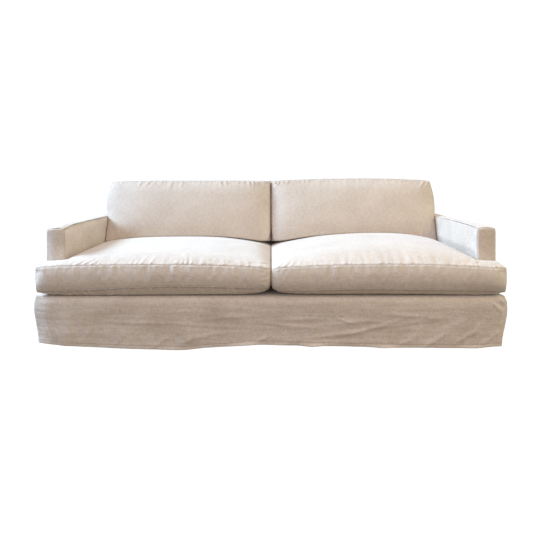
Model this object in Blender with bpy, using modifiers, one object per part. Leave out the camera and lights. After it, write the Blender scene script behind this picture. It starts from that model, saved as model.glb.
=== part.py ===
"""Fitted linen slipcover of a two-seat sofa with low track arms, with its four covered cushions.

The body cover is a hollow shell of flat-cut panels, sewn edge to edge and open at the hem. The sofa inside it
is not part of the model. Two T-shaped box cushions lie on the seat deck and two box cushions lean on the
back. Metres, +X to the right as the sofa is faced, +Y from front to back, +Z up. The origin lies under the
middle, at the lowest point of the hem. Left and right are as the sofa is faced.
"""

import math
from collections import namedtuple

import bmesh
import bpy
import numpy as np

# ---------------------------------------------------------------- driving dimensions
WIDTH = 2.130  # outside of one arm to outside of the other
DEPTH = 0.960  # front of the base to the outside back
DECK_TOP = 0.2395  # upper face of the seat deck above the lowest hem
BACK_TOP = 0.746  # upper face of the back's top band
BACK_TOP_SAG = 0.002  # it falls this far to its seams
ARM_SETBACK = 0.100  # arm front behind the base front
ARM_WIDTH = 0.088
CLOTH = 0.002  # thickness of the heavy linen
SEAM = 0.0003  # space between two sewn panels, and under what lies on a panel

FRONT = -0.476  # outer face of the base front
BACK = FRONT + DEPTH
ARM_FRONT = FRONT + ARM_SETBACK
OUT_X = WIDTH / 2
IN_X = OUT_X - ARM_WIDTH
ARM_BEHIND = ARM_FRONT + CLOTH + SEAM  # where the panels behind an arm's front panel start
ON_DECK = DECK_TOP + SEAM
UNDER_BACK_TOP = BACK_TOP - BACK_TOP_SAG - CLOTH - SEAM  # upper edge of the panels under the back's top band

# The inside back leans: this far behind the base front at the deck, and this much further back for each metre
# of height.
INSIDE_BACK_AT_DECK = 0.790
INSIDE_BACK_SLOPE = 0.18

# Back cushions: how far their face lies behind the base front at its foot and at its head.
CUSHION_FOOT = 0.622
CUSHION_HEAD = 0.728

CUSHION_JOINT = 0.0015  # half of the space between two neighbouring cushions
OVERHANG = 0.005  # seat cushion past the base, at the front and at the ears
SIDE_SPACE = 0.003  # cushion to the arm or back beside it
SEAT_DEPTH = 0.790  # front seam to back seam
SEAT_SETTLE = 0.16  # distance from the front over which a seat cushion's seam reaches its rear height
UNDER_REACH = 0.060  # distance from its lower edge over which the under side comes down on the deck
BACK_REST = 0.002  # back cushion over the seat cushion that carries it
FOOT_LEAST = 0.384  # its lower corners stay above this where the seat cushions fall away at their joint
BACK_HEAD_DROP = 0.010  # the head's rear seam lies lower than its front seam
BACK_GAP = 0.0004  # back cushion to the inside back
CROWN_REACH = 0.085  # distance from a seam over which a crown does most of its rise
EDGE_BAND = 0.016  # first line of a cushion's cage in from its seams
BOXING_SWELL = 0.006  # boxing past its seams at mid height
EAR_SWELL = 0.003  # the same at the outer end of an ear
SEAM_CREASE = 1.0
EAR_CREASE = 0.85  # upright corners of a seat cushion's ear
JOINT_CREASE = 0.40  # all other upright corners

ARM_FRONT_SWELL = 0.002  # front panel of an arm past its seams
ARM_FREE_ABOVE = 0.405  # an arm's inner face is clear of the cushions above this height
ARM_FREE_AHEAD = 0.600  # and nearer than this to the base front
SEAM_HOLD = 0.060  # distance from a seam over which it holds the folds flat

# Longest step between the lines of a panel's or a cage's grid.
FRONT_STEP = 0.0355
SIDE_STEP = 0.055
BACK_STEP = 0.089
BAND_STEP = 0.14
NARROW_STEP = 0.030
SEAT_STEP = 0.19
CUSHION_STEP = 0.16
BASE_ROWS = [0, 0.10, 0.22, 0.36, 0.50, 0.64, 0.78, 0.92, 1]  # shares of the drop from the deck to the hem
ARM_ROWS = [0, 0.2, 0.4, 0.6, 0.8, 1]  # shares of the height from the deck to an arm's top
CUSHION_ROWS = [0, 0.05, 0.25, 0.46, 0.60, 0.80, 0.95, 1]  # shares of a back cushion's height
CUSHION_LAYERS = 3  # squares up a seat cushion's boxing or along a back cushion's

LINEN_COLOUR = (0.62, 0.56, 0.49)
LINEN_ROUGHNESS = 0.92

# ---------------------------------------------------------------- tables, one row for each section or fold
Hem = namedtuple("Hem", "x height")
FRONT_HEM = [
    Hem(x=-1.050, height=0.028),
    Hem(x=-0.955, height=0.019),
    Hem(x=-0.774, height=0.009),
    Hem(x=-0.548, height=0.0015),
    Hem(x=-0.412, height=0.000),
    Hem(x=-0.321, height=0.007),
    Hem(x=-0.186, height=0.0155),
    Hem(x=-0.095, height=0.022),
    Hem(x=0.176, height=0.018),
    Hem(x=0.584, height=0.0105),
    Hem(x=0.900, height=0.008),
    Hem(x=1.043, height=0.015),
]

# Section of the base front from the top seam down: share of the drop, and how far the cloth stands back.
Drop = namedtuple("Drop", "share back")
FRONT_SECTION = [
    Drop(share=0.00, back=0.007),
    Drop(share=0.08, back=0.002),
    Drop(share=0.22, back=0.000),
    Drop(share=0.50, back=0.005),
    Drop(share=0.80, back=0.006),
    Drop(share=1.00, back=0.004),
]

# Hem of the side panels, from the front corner to the rear corner.
SideHem = namedtuple("SideHem", "share left right")
SIDE_HEM = [
    SideHem(share=0.00, left=0.028, right=0.015),
    SideHem(share=0.12, left=0.015, right=0.009),
    SideHem(share=0.45, left=0.006, right=0.005),
    SideHem(share=0.75, left=0.010, right=0.009),
    SideHem(share=1.00, left=0.006, right=0.007),
]
REAR_HEM = [
    Hem(x=-1.065, height=0.006),
    Hem(x=-0.60, height=0.009),
    Hem(x=-0.15, height=0.003),
    Hem(x=0.30, height=0.008),
    Hem(x=0.75, height=0.003),
    Hem(x=1.065, height=0.007),
]

# Upright corners of the base: how far each swells out under the deck, and how far it leans in at the hem.
Corner = namedtuple("Corner", "swell lean")
CORNERS = {
    "front_left": Corner(swell=0.006, lean=0.020),
    "front_right": Corner(swell=0.009, lean=0.028),
    "back_left": Corner(swell=0.003, lean=0.012),
    "back_right": Corner(swell=0.003, lean=0.012),
}
SWELL_DROP = 0.030  # the swell is full this far under the deck
LEAN_START = 0.180  # height at which a corner starts to lean in

# Soft folds of a panel: centre, direction in degrees from level, half length, half width and rise, which is
# positive outwards.
Fold = namedtuple("Fold", "along up turn half_length half_width rise")
FRONT_FOLDS = [
    Fold(along=-0.93, up=0.080, turn=72, half_length=0.10, half_width=0.030, rise=0.006),
    Fold(along=-0.78, up=0.060, turn=80, half_length=0.08, half_width=0.030, rise=-0.004),
    Fold(along=-0.55, up=0.120, turn=8, half_length=0.20, half_width=0.026, rise=0.004),
    Fold(along=-0.38, up=0.040, turn=75, half_length=0.07, half_width=0.035, rise=0.006),
    Fold(along=-0.20, up=0.150, turn=-6, half_length=0.18, half_width=0.026, rise=0.003),
    Fold(along=-0.06, up=0.050, turn=100, half_length=0.07, half_width=0.030, rise=-0.004),
    Fold(along=0.17, up=0.045, turn=68, half_length=0.06, half_width=0.028, rise=0.006),
    Fold(along=0.37, up=0.125, turn=10, half_length=0.18, half_width=0.024, rise=0.005),
    Fold(along=0.50, up=0.045, turn=60, half_length=0.06, half_width=0.030, rise=0.005),
    Fold(along=0.66, up=0.070, turn=52, half_length=0.10, half_width=0.028, rise=0.007),
    Fold(along=0.84, up=0.075, turn=58, half_length=0.10, half_width=0.028, rise=0.006),
    Fold(along=0.97, up=0.080, turn=60, half_length=0.08, half_width=0.025, rise=0.005),
]
SIDE_FOLDS = [
    Fold(along=-0.36, up=0.090, turn=98, half_length=0.10, half_width=0.035, rise=0.006),
    Fold(along=-0.14, up=0.110, turn=84, half_length=0.14, half_width=0.040, rise=-0.004),
    Fold(along=0.08, up=0.080, turn=92, half_length=0.10, half_width=0.040, rise=0.006),
    Fold(along=0.27, up=0.100, turn=80, half_length=0.12, half_width=0.040, rise=-0.004),
    Fold(along=-0.10, up=0.380, turn=-22, half_length=0.20, half_width=0.040, rise=0.004),
    Fold(along=0.22, up=0.340, turn=16, half_length=0.18, half_width=0.045, rise=0.004),
]
BACK_FOLDS = [
    Fold(along=-0.86, up=0.100, turn=95, half_length=0.12, half_width=0.050, rise=0.007),
    Fold(along=-0.52, up=0.120, turn=84, half_length=0.16, half_width=0.055, rise=-0.005),
    Fold(along=-0.20, up=0.090, turn=93, half_length=0.13, half_width=0.050, rise=0.007),
    Fold(along=0.16, up=0.130, turn=88, half_length=0.17, half_width=0.060, rise=-0.005),
    Fold(along=0.48, up=0.100, turn=97, half_length=0.12, half_width=0.050, rise=0.007),
    Fold(along=0.83, up=0.110, turn=85, half_length=0.13, half_width=0.050, rise=0.006),
    Fold(along=-0.35, up=0.480, turn=-14, half_length=0.40, half_width=0.070, rise=0.004),
    Fold(along=0.38, up=0.520, turn=12, half_length=0.36, half_width=0.070, rise=0.004),
]
ARM_INSIDE_FOLDS = [
    Fold(along=-0.33, up=0.440, turn=70, half_length=0.06, half_width=0.022, rise=-0.004),
    Fold(along=-0.12, up=0.480, turn=14, half_length=0.12, half_width=0.026, rise=0.003),
    Fold(along=0.06, up=0.450, turn=-20, half_length=0.08, half_width=0.026, rise=-0.003),
]

# Height of an arm's top band: behind the base front, along its outer seam and along its inner seam.
Arm = namedtuple("Arm", "behind outer inner")
ARM_HEIGHTS = {
    "left": [
        Arm(behind=0.100, outer=0.535, inner=0.538),
        Arm(behind=0.220, outer=0.544, inner=0.549),
        Arm(behind=0.400, outer=0.541, inner=0.548),
        Arm(behind=0.620, outer=0.538, inner=0.543),
        Arm(behind=0.960, outer=0.534, inner=0.538),
    ],
    "right": [
        Arm(behind=0.100, outer=0.540, inner=0.541),
        Arm(behind=0.220, outer=0.542, inner=0.546),
        Arm(behind=0.400, outer=0.541, inner=0.546),
        Arm(behind=0.620, outer=0.535, inner=0.540),
        Arm(behind=0.960, outer=0.532, inner=0.536),
    ],
}
ARM_CROWN = 0.004  # the middle of an arm's top band over its seams

# Seat cushions, from the outer ear to the middle of the sofa: height of the top seam at the front, its
# height further back, height of the under side's front edge, and rise of the crown over the seams.
Seat = namedtuple("Seat", "share seam rear foot crown")
SEAT_SECTIONS = {
    "left": [
        Seat(share=0.00, seam=0.3720, rear=0.388, foot=0.258, crown=0.020),
        Seat(share=0.09, seam=0.3800, rear=0.388, foot=0.252, crown=0.036),
        Seat(share=0.34, seam=0.3860, rear=0.388, foot=0.249, crown=0.038),
        Seat(share=0.58, seam=0.3870, rear=0.388, foot=0.250, crown=0.040),
        Seat(share=0.83, seam=0.3830, rear=0.387, foot=0.252, crown=0.037),
        Seat(share=0.95, seam=0.3810, rear=0.379, foot=0.255, crown=0.030),
        Seat(share=1.00, seam=0.3700, rear=0.366, foot=0.266, crown=0.022),
    ],
    "right": [
        Seat(share=0.00, seam=0.3690, rear=0.388, foot=0.258, crown=0.030),
        Seat(share=0.08, seam=0.3735, rear=0.392, foot=0.250, crown=0.050),
        Seat(share=0.25, seam=0.3850, rear=0.390, foot=0.252, crown=0.066),
        Seat(share=0.50, seam=0.3900, rear=0.388, foot=0.254, crown=0.063),
        Seat(share=0.72, seam=0.3840, rear=0.387, foot=0.254, crown=0.052),
        Seat(share=0.92, seam=0.3790, rear=0.382, foot=0.255, crown=0.030),
        Seat(share=1.00, seam=0.3700, rear=0.366, foot=0.266, crown=0.022),
    ],
}

# Back cushions, from the outer edge to the middle of the sofa: height of the head, and how far the face
# stands proud of the straight line from its foot to its head.
Head = namedtuple("Head", "share head crown")
BACK_SECTIONS = {
    "left": [
        Head(share=0.00, head=0.7400, crown=0.004),
        Head(share=0.12, head=0.7450, crown=0.020),
        Head(share=0.50, head=0.7465, crown=0.034),
        Head(share=0.88, head=0.7460, crown=0.022),
        Head(share=1.00, head=0.7430, crown=0.006),
    ],
    "right": [
        Head(share=0.00, head=0.7460, crown=0.004),
        Head(share=0.12, head=0.7530, crown=0.020),
        Head(share=0.35, head=0.7600, crown=0.034),
        Head(share=0.70, head=0.7560, crown=0.032),
        Head(share=0.90, head=0.7500, crown=0.020),
        Head(share=1.00, head=0.7440, crown=0.006),
    ],
}

# Outer edge of the back cushions, from foot to head: how far it passes its place beside the arm.
Edge = namedtuple("Edge", "up left right")
BACK_EDGES = [
    Edge(up=0.00, left=0.000, right=0.000),
    Edge(up=0.46, left=0.000, right=0.000),
    Edge(up=0.60, left=0.005, right=0.005),
    Edge(up=0.80, left=0.003, right=-0.002),
    Edge(up=1.00, left=-0.004, right=-0.012),
]

SIDES = {"left": -1, "right": 1}


# ---------------------------------------------------------------- sizes that follow from the tables
def along(rows, key, value, at):
    """The column called value at a place in the column called key, on a smooth curve through the rows.

    The curve is level at each row that lies higher or lower than both its neighbours, so it never passes it.
    """
    xs = [getattr(row, key) for row in rows]
    ys = [getattr(row, value) for row in rows]
    at = min(max(at, xs[0]), xs[-1])
    slopes = np.gradient(ys, xs)
    steps = np.diff(ys) / np.diff(xs)
    slopes[1:-1][steps[:-1] * steps[1:] <= 0] = 0.0
    i = min(max(int(np.searchsorted(xs, at)) - 1, 0), len(xs) - 2)
    span = xs[i + 1] - xs[i]
    t = (at - xs[i]) / span
    start = (2 * t**3 - 3 * t**2 + 1) * ys[i] + (t**3 - 2 * t**2 + t) * span * slopes[i]
    end = (3 * t**2 - 2 * t**3) * ys[i + 1] + (t**3 - t**2) * span * slopes[i + 1]
    return start + end


def smooth(t):
    """0 below 0, 1 above 1, and a soft step between."""
    t = min(max(t, 0.0), 1.0)
    return t * t * (3 - 2 * t)


def mix(a, b, t):
    return a + (b - a) * t


def folds(rows, a, b):
    """How far the folds of a panel lift it at the place a along it and b up it."""
    lift = 0.0
    for row in rows:
        turn = math.radians(row.turn)
        da, db = a - row.along, b - row.up
        run = da * math.cos(turn) + db * math.sin(turn)
        across = db * math.cos(turn) - da * math.sin(turn)
        lift += row.rise * math.exp(-((run / row.half_length) ** 2) - (across / row.half_width) ** 2)
    return lift


def held(*distances):
    """0 at a seam, which holds a panel's folds flat, and 1 further from every seam than SEAM_HOLD."""
    share = 1.0
    for distance in distances:
        share *= smooth(distance / SEAM_HOLD)
    return share


def inside_back(z):
    """Where the inside back's face lies at a height."""
    return FRONT + INSIDE_BACK_AT_DECK + INSIDE_BACK_SLOPE * (z - DECK_TOP)


def lean(corner, z):
    """How far an upright corner of the base leans in at a height. Below 0 it swells out."""
    row = CORNERS[corner]
    return row.lean * smooth((LEAN_START - z) / LEAN_START) - row.swell * smooth((DECK_TOP - z) / SWELL_DROP)


def arm_height(side, edge, y):
    return along(ARM_HEIGHTS[side], "behind", edge, y - FRONT)


def arm_top_height(side, x, y):
    """Outer face of an arm's top band over the place x, y."""
    share = (abs(x) - IN_X) / ARM_WIDTH
    level = mix(arm_height(side, "inner", y), arm_height(side, "outer", y), share)
    return level + ARM_CROWN * math.sin(math.pi * min(max(share, 0.0), 1.0))


def side_hem(side, y):
    return along(SIDE_HEM, "share", side, (y - FRONT) / DEPTH)


def front_set(z, hem):
    """How far the base front stands back at a height, from its section."""
    return along(FRONT_SECTION, "share", "back", (DECK_TOP - z) / (DECK_TOP - hem))


# ---------------------------------------------------------------- making objects
def clear_scene():
    for item in list(bpy.data.objects):
        bpy.data.objects.remove(item, do_unlink=True)


def linen(name):
    """The plain woven cloth of one piece: rough and not metallic."""
    material = bpy.data.materials.new(f"{name}_linen")
    material.use_nodes = True
    shader = material.node_tree.nodes["Principled BSDF"]
    shader.inputs["Base Color"].default_value = (*LINEN_COLOUR, 1.0)
    shader.inputs["Roughness"].default_value = LINEN_ROUGHNESS
    shader.inputs["Metallic"].default_value = 0.0
    return material


def stops(low, high, longest, marks=()):
    """Places from low to high through all marks, with no step longer than longest."""
    fixed = [low, *[m for m in marks if low < m < high], high]
    places = [low]
    for a, b in zip(fixed, fixed[1:]):
        steps = max(1, math.ceil((b - a) / longest - 1e-9))
        places += [mix(a, b, (i + 1) / steps) for i in range(steps)]
    return places


def lattice(across, up, missing=None):
    """A flat grid whose lines lie at the places across and up, without the squares that are missing."""
    columns, rows = len(across) - 1, len(up) - 1
    grid = bmesh.new()
    bmesh.ops.create_grid(grid, x_segments=columns, y_segments=rows, size=0.5)
    for vertex in grid.verts:
        column = round((vertex.co.x + 0.5) * columns)
        row = round((vertex.co.y + 0.5) * rows)
        vertex.co = (across[column], up[row], 0.0)
    if missing:
        middles = {face: face.calc_center_median() for face in grid.faces}
        waste = [face for face, middle in middles.items() if missing(middle.x, middle.y)]
        bmesh.ops.delete(grid, geom=waste, context="FACES")
    return grid


def finish(name, shape, collection):
    mesh = bpy.data.meshes.new(name)
    shape.to_mesh(mesh)
    shape.free()
    mesh.shade_smooth()
    item = bpy.data.objects.new(name, mesh)
    item.data.materials.append(linen(name))
    collection.objects.link(item)
    return item


def panel(name, collection, outward, across, up, place, missing=None):
    """A sewn panel: a grid of cloth whose outer face is laid by place(a, b), thickened away from outward."""
    cloth = lattice(across, up, missing)
    for vertex in cloth.verts:
        vertex.co = place(vertex.co.x, vertex.co.y)
    cloth.normal_update()
    facing = sum(face.normal.dot(outward) * face.calc_area() for face in cloth.faces)
    if facing < 0:
        bmesh.ops.reverse_faces(cloth, faces=cloth.faces)
    item = finish(name, cloth, collection)
    wall = item.modifiers.new("cloth", "SOLIDIFY")
    wall.thickness = CLOTH
    wall.offset = -1.0
    return item


def cushion(name, collection, across, up, layers, place, corner_crease, missing=None):
    """A filled box cushion: a cage of squares, rounded by subdivision and held firm along its seams.

    place(a, b, w, push) gives a point of the cage. w runs from 0 on the under side to 1 on the face, and push
    is the outward direction along across and up on the boxing, and zero away from it. corner_crease(a) says
    how sharp the upright corners are.
    """
    cage = lattice(across, up, missing)
    top = bmesh.ops.extrude_face_region(cage, geom=cage.faces[:], use_keep_orig=True)["geom"]
    bmesh.ops.translate(cage, verts=[g for g in top if isinstance(g, bmesh.types.BMVert)], vec=(0, 0, 1))
    posts = [edge for edge in cage.edges if edge.verts[0].co.z != edge.verts[1].co.z]
    bmesh.ops.subdivide_edges(cage, edges=posts, cuts=layers - 1, use_grid_fill=True)
    bmesh.ops.recalc_face_normals(cage, faces=cage.faces)
    crease = cage.edges.layers.float.new("crease_edge")
    for edge in cage.edges:
        one, other = [face.normal for face in edge.link_faces]
        upright = abs(one.z) + abs(other.z) < 0.5
        if one.dot(other) < 0.5:
            sharp = corner_crease(edge.verts[0].co.x)
            edge[crease] = sharp if upright and edge.is_convex else SEAM_CREASE
    placed = []
    for vertex in cage.verts:
        push = [0.0, 0.0]
        for face in vertex.link_faces:
            for axis in (0, 1):
                if abs(face.normal[axis]) > 0.5:
                    push[axis] = math.copysign(1.0, face.normal[axis])
        placed.append((vertex, place(*vertex.co, push)))
    for vertex, point in placed:
        vertex.co = point
    bmesh.ops.recalc_face_normals(cage, faces=cage.faces)
    item = finish(name, cage, collection)
    filled = item.modifiers.new("filled", "SUBSURF")
    filled.levels = 1
    filled.render_levels = 1
    return item


# ---------------------------------------------------------------- body cover
ARM_LINES = stops(ARM_BEHIND, BACK, SIDE_STEP)  # lines across an arm that its panels share


def base_front(collection):
    def place(x, share):
        hem = along(FRONT_HEM, "x", "height", x)
        z = mix(hem, DECK_TOP, share)
        corner = "front_left" if x < 0 else "front_right"
        loose = held(OUT_X - abs(x), DECK_TOP - z)
        y = FRONT + front_set(z, hem) - loose * folds(FRONT_FOLDS, x, z)
        return x - x / OUT_X * lean(corner, z), y, z

    panel("base_front", collection, (0, -1, 0), stops(-OUT_X, OUT_X, FRONT_STEP), BASE_ROWS, place)


def side(name, collection):
    sign = SIDES[name]

    def place(y, share):
        hem = side_hem(name, y)
        top = arm_top_height(name, OUT_X, y) - CLOTH - SEAM
        z = mix(hem, DECK_TOP, share) if share <= 1 else mix(DECK_TOP, top, share - 1)
        x = OUT_X - mix(lean(f"front_{name}", z), lean(f"back_{name}", z), (y - FRONT) / DEPTH)
        loose = held(y - FRONT, BACK - y, top - z)
        if y < ARM_BEHIND + SEAM_HOLD:
            loose *= held(abs(z - DECK_TOP))
        x += loose * folds(SIDE_FOLDS, y, z)
        hem_corner = side_hem(name, FRONT)
        meet_front = front_set(max(z, hem_corner), hem_corner) + CLOTH + SEAM
        meet_back = CLOTH + SEAM
        y_share = (y - FRONT) / SEAM_HOLD
        y += meet_front * (1 - smooth(y_share)) - meet_back * smooth((y - BACK) / SEAM_HOLD + 1)
        return sign * x, y, z

    panel(
        f"side_{name}",
        collection,
        (sign, 0, 0),
        stops(FRONT, ARM_BEHIND, SIDE_STEP) + ARM_LINES[1:],
        BASE_ROWS + [1 + share for share in ARM_ROWS[1:]],
        place,
        missing=lambda y, share: share > 1 and y < ARM_BEHIND,
    )


def back_outside(collection):
    inner = IN_X - SEAM

    def place(x, share):
        name = "left" if x < 0 else "right"
        hem = along(REAR_HEM, "x", "height", x)
        arm_top = arm_top_height(name, max(abs(x), IN_X), BACK) - CLOTH - SEAM
        z = mix(hem, arm_top, share) if share <= 1 else mix(arm_top, UNDER_BACK_TOP, share - 1)
        loose = held(OUT_X - abs(x), UNDER_BACK_TOP - z)
        y = BACK + loose * folds(BACK_FOLDS, x, z)
        return x - x / OUT_X * lean(f"back_{name}", z), y, z

    panel(
        "back_outside",
        collection,
        (0, 1, 0),
        stops(-OUT_X, OUT_X, BACK_STEP, [-inner, inner]),
        stops(0, 2, 1 / 6),
        place,
        missing=lambda x, share: share > 1 and abs(x) > inner,
    )


def seat_deck(collection):
    ear = OUT_X - CLOTH - SEAM
    main = IN_X + CLOTH
    front = FRONT + FRONT_SECTION[0].back + CLOTH + SEAM
    notch = ARM_FRONT + CLOTH
    back = inside_back(DECK_TOP) + CLOTH
    panel(
        "seat_deck",
        collection,
        (0, 0, 1),
        [-ear, -main, main, ear],
        [front, notch, back],
        lambda x, y: (x, y, DECK_TOP),
        missing=lambda x, y: abs(x) > main and y > notch,
    )


def arm(name, collection):
    sign = SIDES[name]

    def front_place(x, share):
        z = mix(ON_DECK, arm_top_height(name, x, ARM_FRONT) - CLOTH - SEAM, share)
        swell = ARM_FRONT_SWELL * math.sin(math.pi * (x - IN_X) / ARM_WIDTH) * math.sin(math.pi * share)
        return sign * x, ARM_FRONT - swell, z

    def top_place(x, y):
        return sign * x, y, arm_top_height(name, x, y)

    def inside_place(y, share):
        last = y > FRONT + INSIDE_BACK_AT_DECK
        at = inside_back(ARM_HEIGHTS[name][-1].inner) + CLOTH if last else y
        top = arm_top_height(name, IN_X, at) - CLOTH - 2 * SEAM
        z = mix(ON_DECK, top, share)
        if last:
            y = inside_back(z) + CLOTH
        loose = held(z - ARM_FREE_ABOVE, 2 * (top - z), y - ARM_BEHIND, FRONT + ARM_FREE_AHEAD - y)
        return sign * (IN_X - loose * folds(ARM_INSIDE_FOLDS, y, z)), y, z

    width = stops(IN_X, OUT_X, NARROW_STEP)
    seen = [y for y in ARM_LINES if y < FRONT + INSIDE_BACK_AT_DECK]
    panel(f"arm_front_{name}", collection, (0, -1, 0), width, ARM_ROWS, front_place)
    panel(f"arm_top_{name}", collection, (0, 0, 1), width, [ARM_FRONT, *ARM_LINES], top_place)
    panel(f"arm_inside_{name}", collection, (-sign, 0, 0), [*seen, BACK], stops(0, 1, 1 / 8), inside_place)


def back(collection):
    edge = IN_X - SEAM
    lean_angle = math.atan(INSIDE_BACK_SLOPE)
    foot = ON_DECK + CLOTH * math.sin(lean_angle)
    panel(
        "back_inside",
        collection,
        (0, -1, 0),
        [-edge, 0, edge],
        [foot, UNDER_BACK_TOP],
        lambda x, z: (x, inside_back(z), z),
    )
    panel(
        "back_top",
        collection,
        (0, 0, 1),
        stops(-edge, edge, BAND_STEP),
        stops(0, 1, 1 / 3),
        lambda x, b: (x, mix(inside_back(BACK_TOP), BACK, b), BACK_TOP - BACK_TOP_SAG * (2 * b - 1) ** 2),
    )
    for name, sign in SIDES.items():
        behind = CLOTH / math.cos(lean_angle) + SEAM
        low = arm_top_height(name, IN_X, BACK - CLOTH) - CLOTH

        def place(b, share, low=low, sign=sign):
            z = mix(low, UNDER_BACK_TOP, share)
            return sign * edge, mix(inside_back(z) + behind, BACK - CLOTH - SEAM, b), z

        panel(f"back_end_{name}", collection, (sign, 0, 0), [0, 0.5, 1], stops(0, 1, 1 / 3), place)


# ---------------------------------------------------------------- cushions
SEAT_FRONT = FRONT - OVERHANG
SEAT_BACK = SEAT_FRONT + SEAT_DEPTH
EAR_X = OUT_X + OVERHANG
EAR_BACK = ARM_FRONT - SIDE_SPACE
SEAT_SIDE = IN_X - SIDE_SPACE


def rise(distance, reach=CROWN_REACH):
    """Share of a crown that is reached at a distance from a seam."""
    return 1 - math.exp(-max(distance, 0.0) / reach)


def seat_edges(out, y):
    """Distances from a place on a seat cushion to its outer, middle, front and back seams."""
    if y > EAR_BACK:
        outer = SEAT_SIDE - out
    elif out > SEAT_SIDE:
        outer = min(EAR_X - out, EAR_BACK - y)
    else:
        outer = min(EAR_X - out, math.hypot(SEAT_SIDE - out, EAR_BACK - y))
    return max(outer, 0.0), out - CUSHION_JOINT, y - SEAT_FRONT, SEAT_BACK - y


def seat_share(out):
    return (EAR_X - out) / (EAR_X - CUSHION_JOINT)


def seat_top(name, out, y):
    """Height of a seat cushion's upper face."""
    rows = SEAT_SECTIONS[name]
    share = seat_share(out)
    back_seam = along(rows, "share", "rear", share)
    seam = mix(along(rows, "share", "seam", share), back_seam, smooth((y - SEAT_FRONT) / SEAT_SETTLE))
    crown = along(rows, "share", "crown", share)
    for distance in seat_edges(out, y):
        crown *= rise(distance)
    return seam + crown


def seat_under(name, out, y):
    """Height of its under side, which rounds in from its lower edge to lie flat on the deck."""
    foot = along(SEAT_SECTIONS[name], "share", "foot", seat_share(out))
    near = max(0.0, 1 - min(seat_edges(out, y)) / UNDER_REACH)
    return ON_DECK + (foot - ON_DECK) * near**3


def seat_cushion(name, collection):
    sign = SIDES[name]

    def place(out, y, w, push):
        z = mix(seat_under(name, out, y), seat_top(name, out, y), w)
        if push[1] < 0:
            y -= BOXING_SWELL * math.sin(math.pi * w)
        if push[0] > 0 and out > SEAT_SIDE:
            out += EAR_SWELL * math.sin(math.pi * w)
        return sign * out, y, z

    inner = CUSHION_JOINT + EDGE_BAND
    outer = SEAT_SIDE - EDGE_BAND
    cushion(
        f"seat_cushion_{name}",
        collection,
        [CUSHION_JOINT, *stops(inner, outer, SEAT_STEP), SEAT_SIDE, EAR_X - EDGE_BAND, EAR_X],
        [SEAT_FRONT, SEAT_FRONT + EDGE_BAND, *stops(EAR_BACK, SEAT_BACK - EDGE_BAND, SEAT_STEP), SEAT_BACK],
        CUSHION_LAYERS,
        place,
        lambda out: EAR_CREASE if out > SEAT_SIDE else JOINT_CREASE,
        missing=lambda out, y: out > SEAT_SIDE and y > EAR_BACK,
    )


def back_cushion(name, collection):
    sign = SIDES[name]
    rows = BACK_SECTIONS[name]

    def place(out, b, w, push):
        share = (SEAT_SIDE - out) / (SEAT_SIDE - CUSHION_JOINT)
        head = along(rows, "share", "head", share) - BACK_HEAD_DROP * (1 - w)
        crown = along(rows, "share", "crown", share)
        foot_y = FRONT + CUSHION_FOOT
        head_y = FRONT + CUSHION_HEAD
        tall = head - FOOT_LEAST
        crown *= rise(b * tall) * rise((1 - b) * tall)
        face_y = mix(foot_y, head_y, b) - crown
        carried = seat_top(name, out, mix(SEAT_BACK - EDGE_BAND, foot_y, w))
        foot = max(carried, FOOT_LEAST) + BACK_REST
        z = mix(foot, head, b)
        rear_y = inside_back(z) - BACK_GAP
        over = along(BACK_EDGES, "up", name, b) * (out / SEAT_SIDE) ** 4
        return sign * (out + over), mix(rear_y, face_y, w), z

    inner = CUSHION_JOINT + EDGE_BAND
    outer = SEAT_SIDE - EDGE_BAND
    cushion(
        f"back_cushion_{name}",
        collection,
        [CUSHION_JOINT, *stops(inner, outer, CUSHION_STEP), SEAT_SIDE],
        CUSHION_ROWS,
        CUSHION_LAYERS,
        place,
        lambda out: JOINT_CREASE,
    )


def build():
    clear_scene()
    cover = bpy.data.collections.new("sofa_slipcover")
    bpy.context.scene.collection.children.link(cover)
    base_front(cover)
    back_outside(cover)
    seat_deck(cover)
    back(cover)
    for name in SIDES:
        side(name, cover)
        arm(name, cover)
        seat_cushion(name, cover)
        back_cushion(name, cover)


build()
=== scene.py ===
"""Looks of a linen slipcover with its seat and back cushions: weave, creases, seams and filling."""

import math
from collections import namedtuple

import bpy
import numpy as np
from mathutils import Matrix, Vector, noise
from mathutils.bvhtree import BVHTree
from mathutils.kdtree import KDTree


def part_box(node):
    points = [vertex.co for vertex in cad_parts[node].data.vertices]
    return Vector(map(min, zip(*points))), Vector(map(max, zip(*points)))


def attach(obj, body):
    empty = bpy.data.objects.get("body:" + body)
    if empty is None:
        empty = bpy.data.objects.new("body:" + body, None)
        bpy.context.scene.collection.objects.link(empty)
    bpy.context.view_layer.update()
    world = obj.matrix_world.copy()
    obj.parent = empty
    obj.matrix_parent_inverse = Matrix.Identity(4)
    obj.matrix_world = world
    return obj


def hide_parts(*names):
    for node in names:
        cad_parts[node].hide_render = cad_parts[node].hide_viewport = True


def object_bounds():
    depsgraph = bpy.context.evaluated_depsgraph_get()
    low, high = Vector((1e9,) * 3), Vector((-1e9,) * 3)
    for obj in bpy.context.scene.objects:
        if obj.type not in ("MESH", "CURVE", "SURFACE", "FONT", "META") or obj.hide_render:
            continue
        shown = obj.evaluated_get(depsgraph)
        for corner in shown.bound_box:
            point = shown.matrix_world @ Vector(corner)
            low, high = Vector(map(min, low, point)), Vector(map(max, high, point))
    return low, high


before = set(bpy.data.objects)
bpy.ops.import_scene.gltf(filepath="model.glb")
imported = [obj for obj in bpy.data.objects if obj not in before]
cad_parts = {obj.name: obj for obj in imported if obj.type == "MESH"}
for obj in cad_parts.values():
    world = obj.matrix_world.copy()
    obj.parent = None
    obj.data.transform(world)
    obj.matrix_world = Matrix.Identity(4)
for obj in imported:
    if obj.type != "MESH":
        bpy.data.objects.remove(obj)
cad_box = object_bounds()
scene = bpy.context.scene

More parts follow.
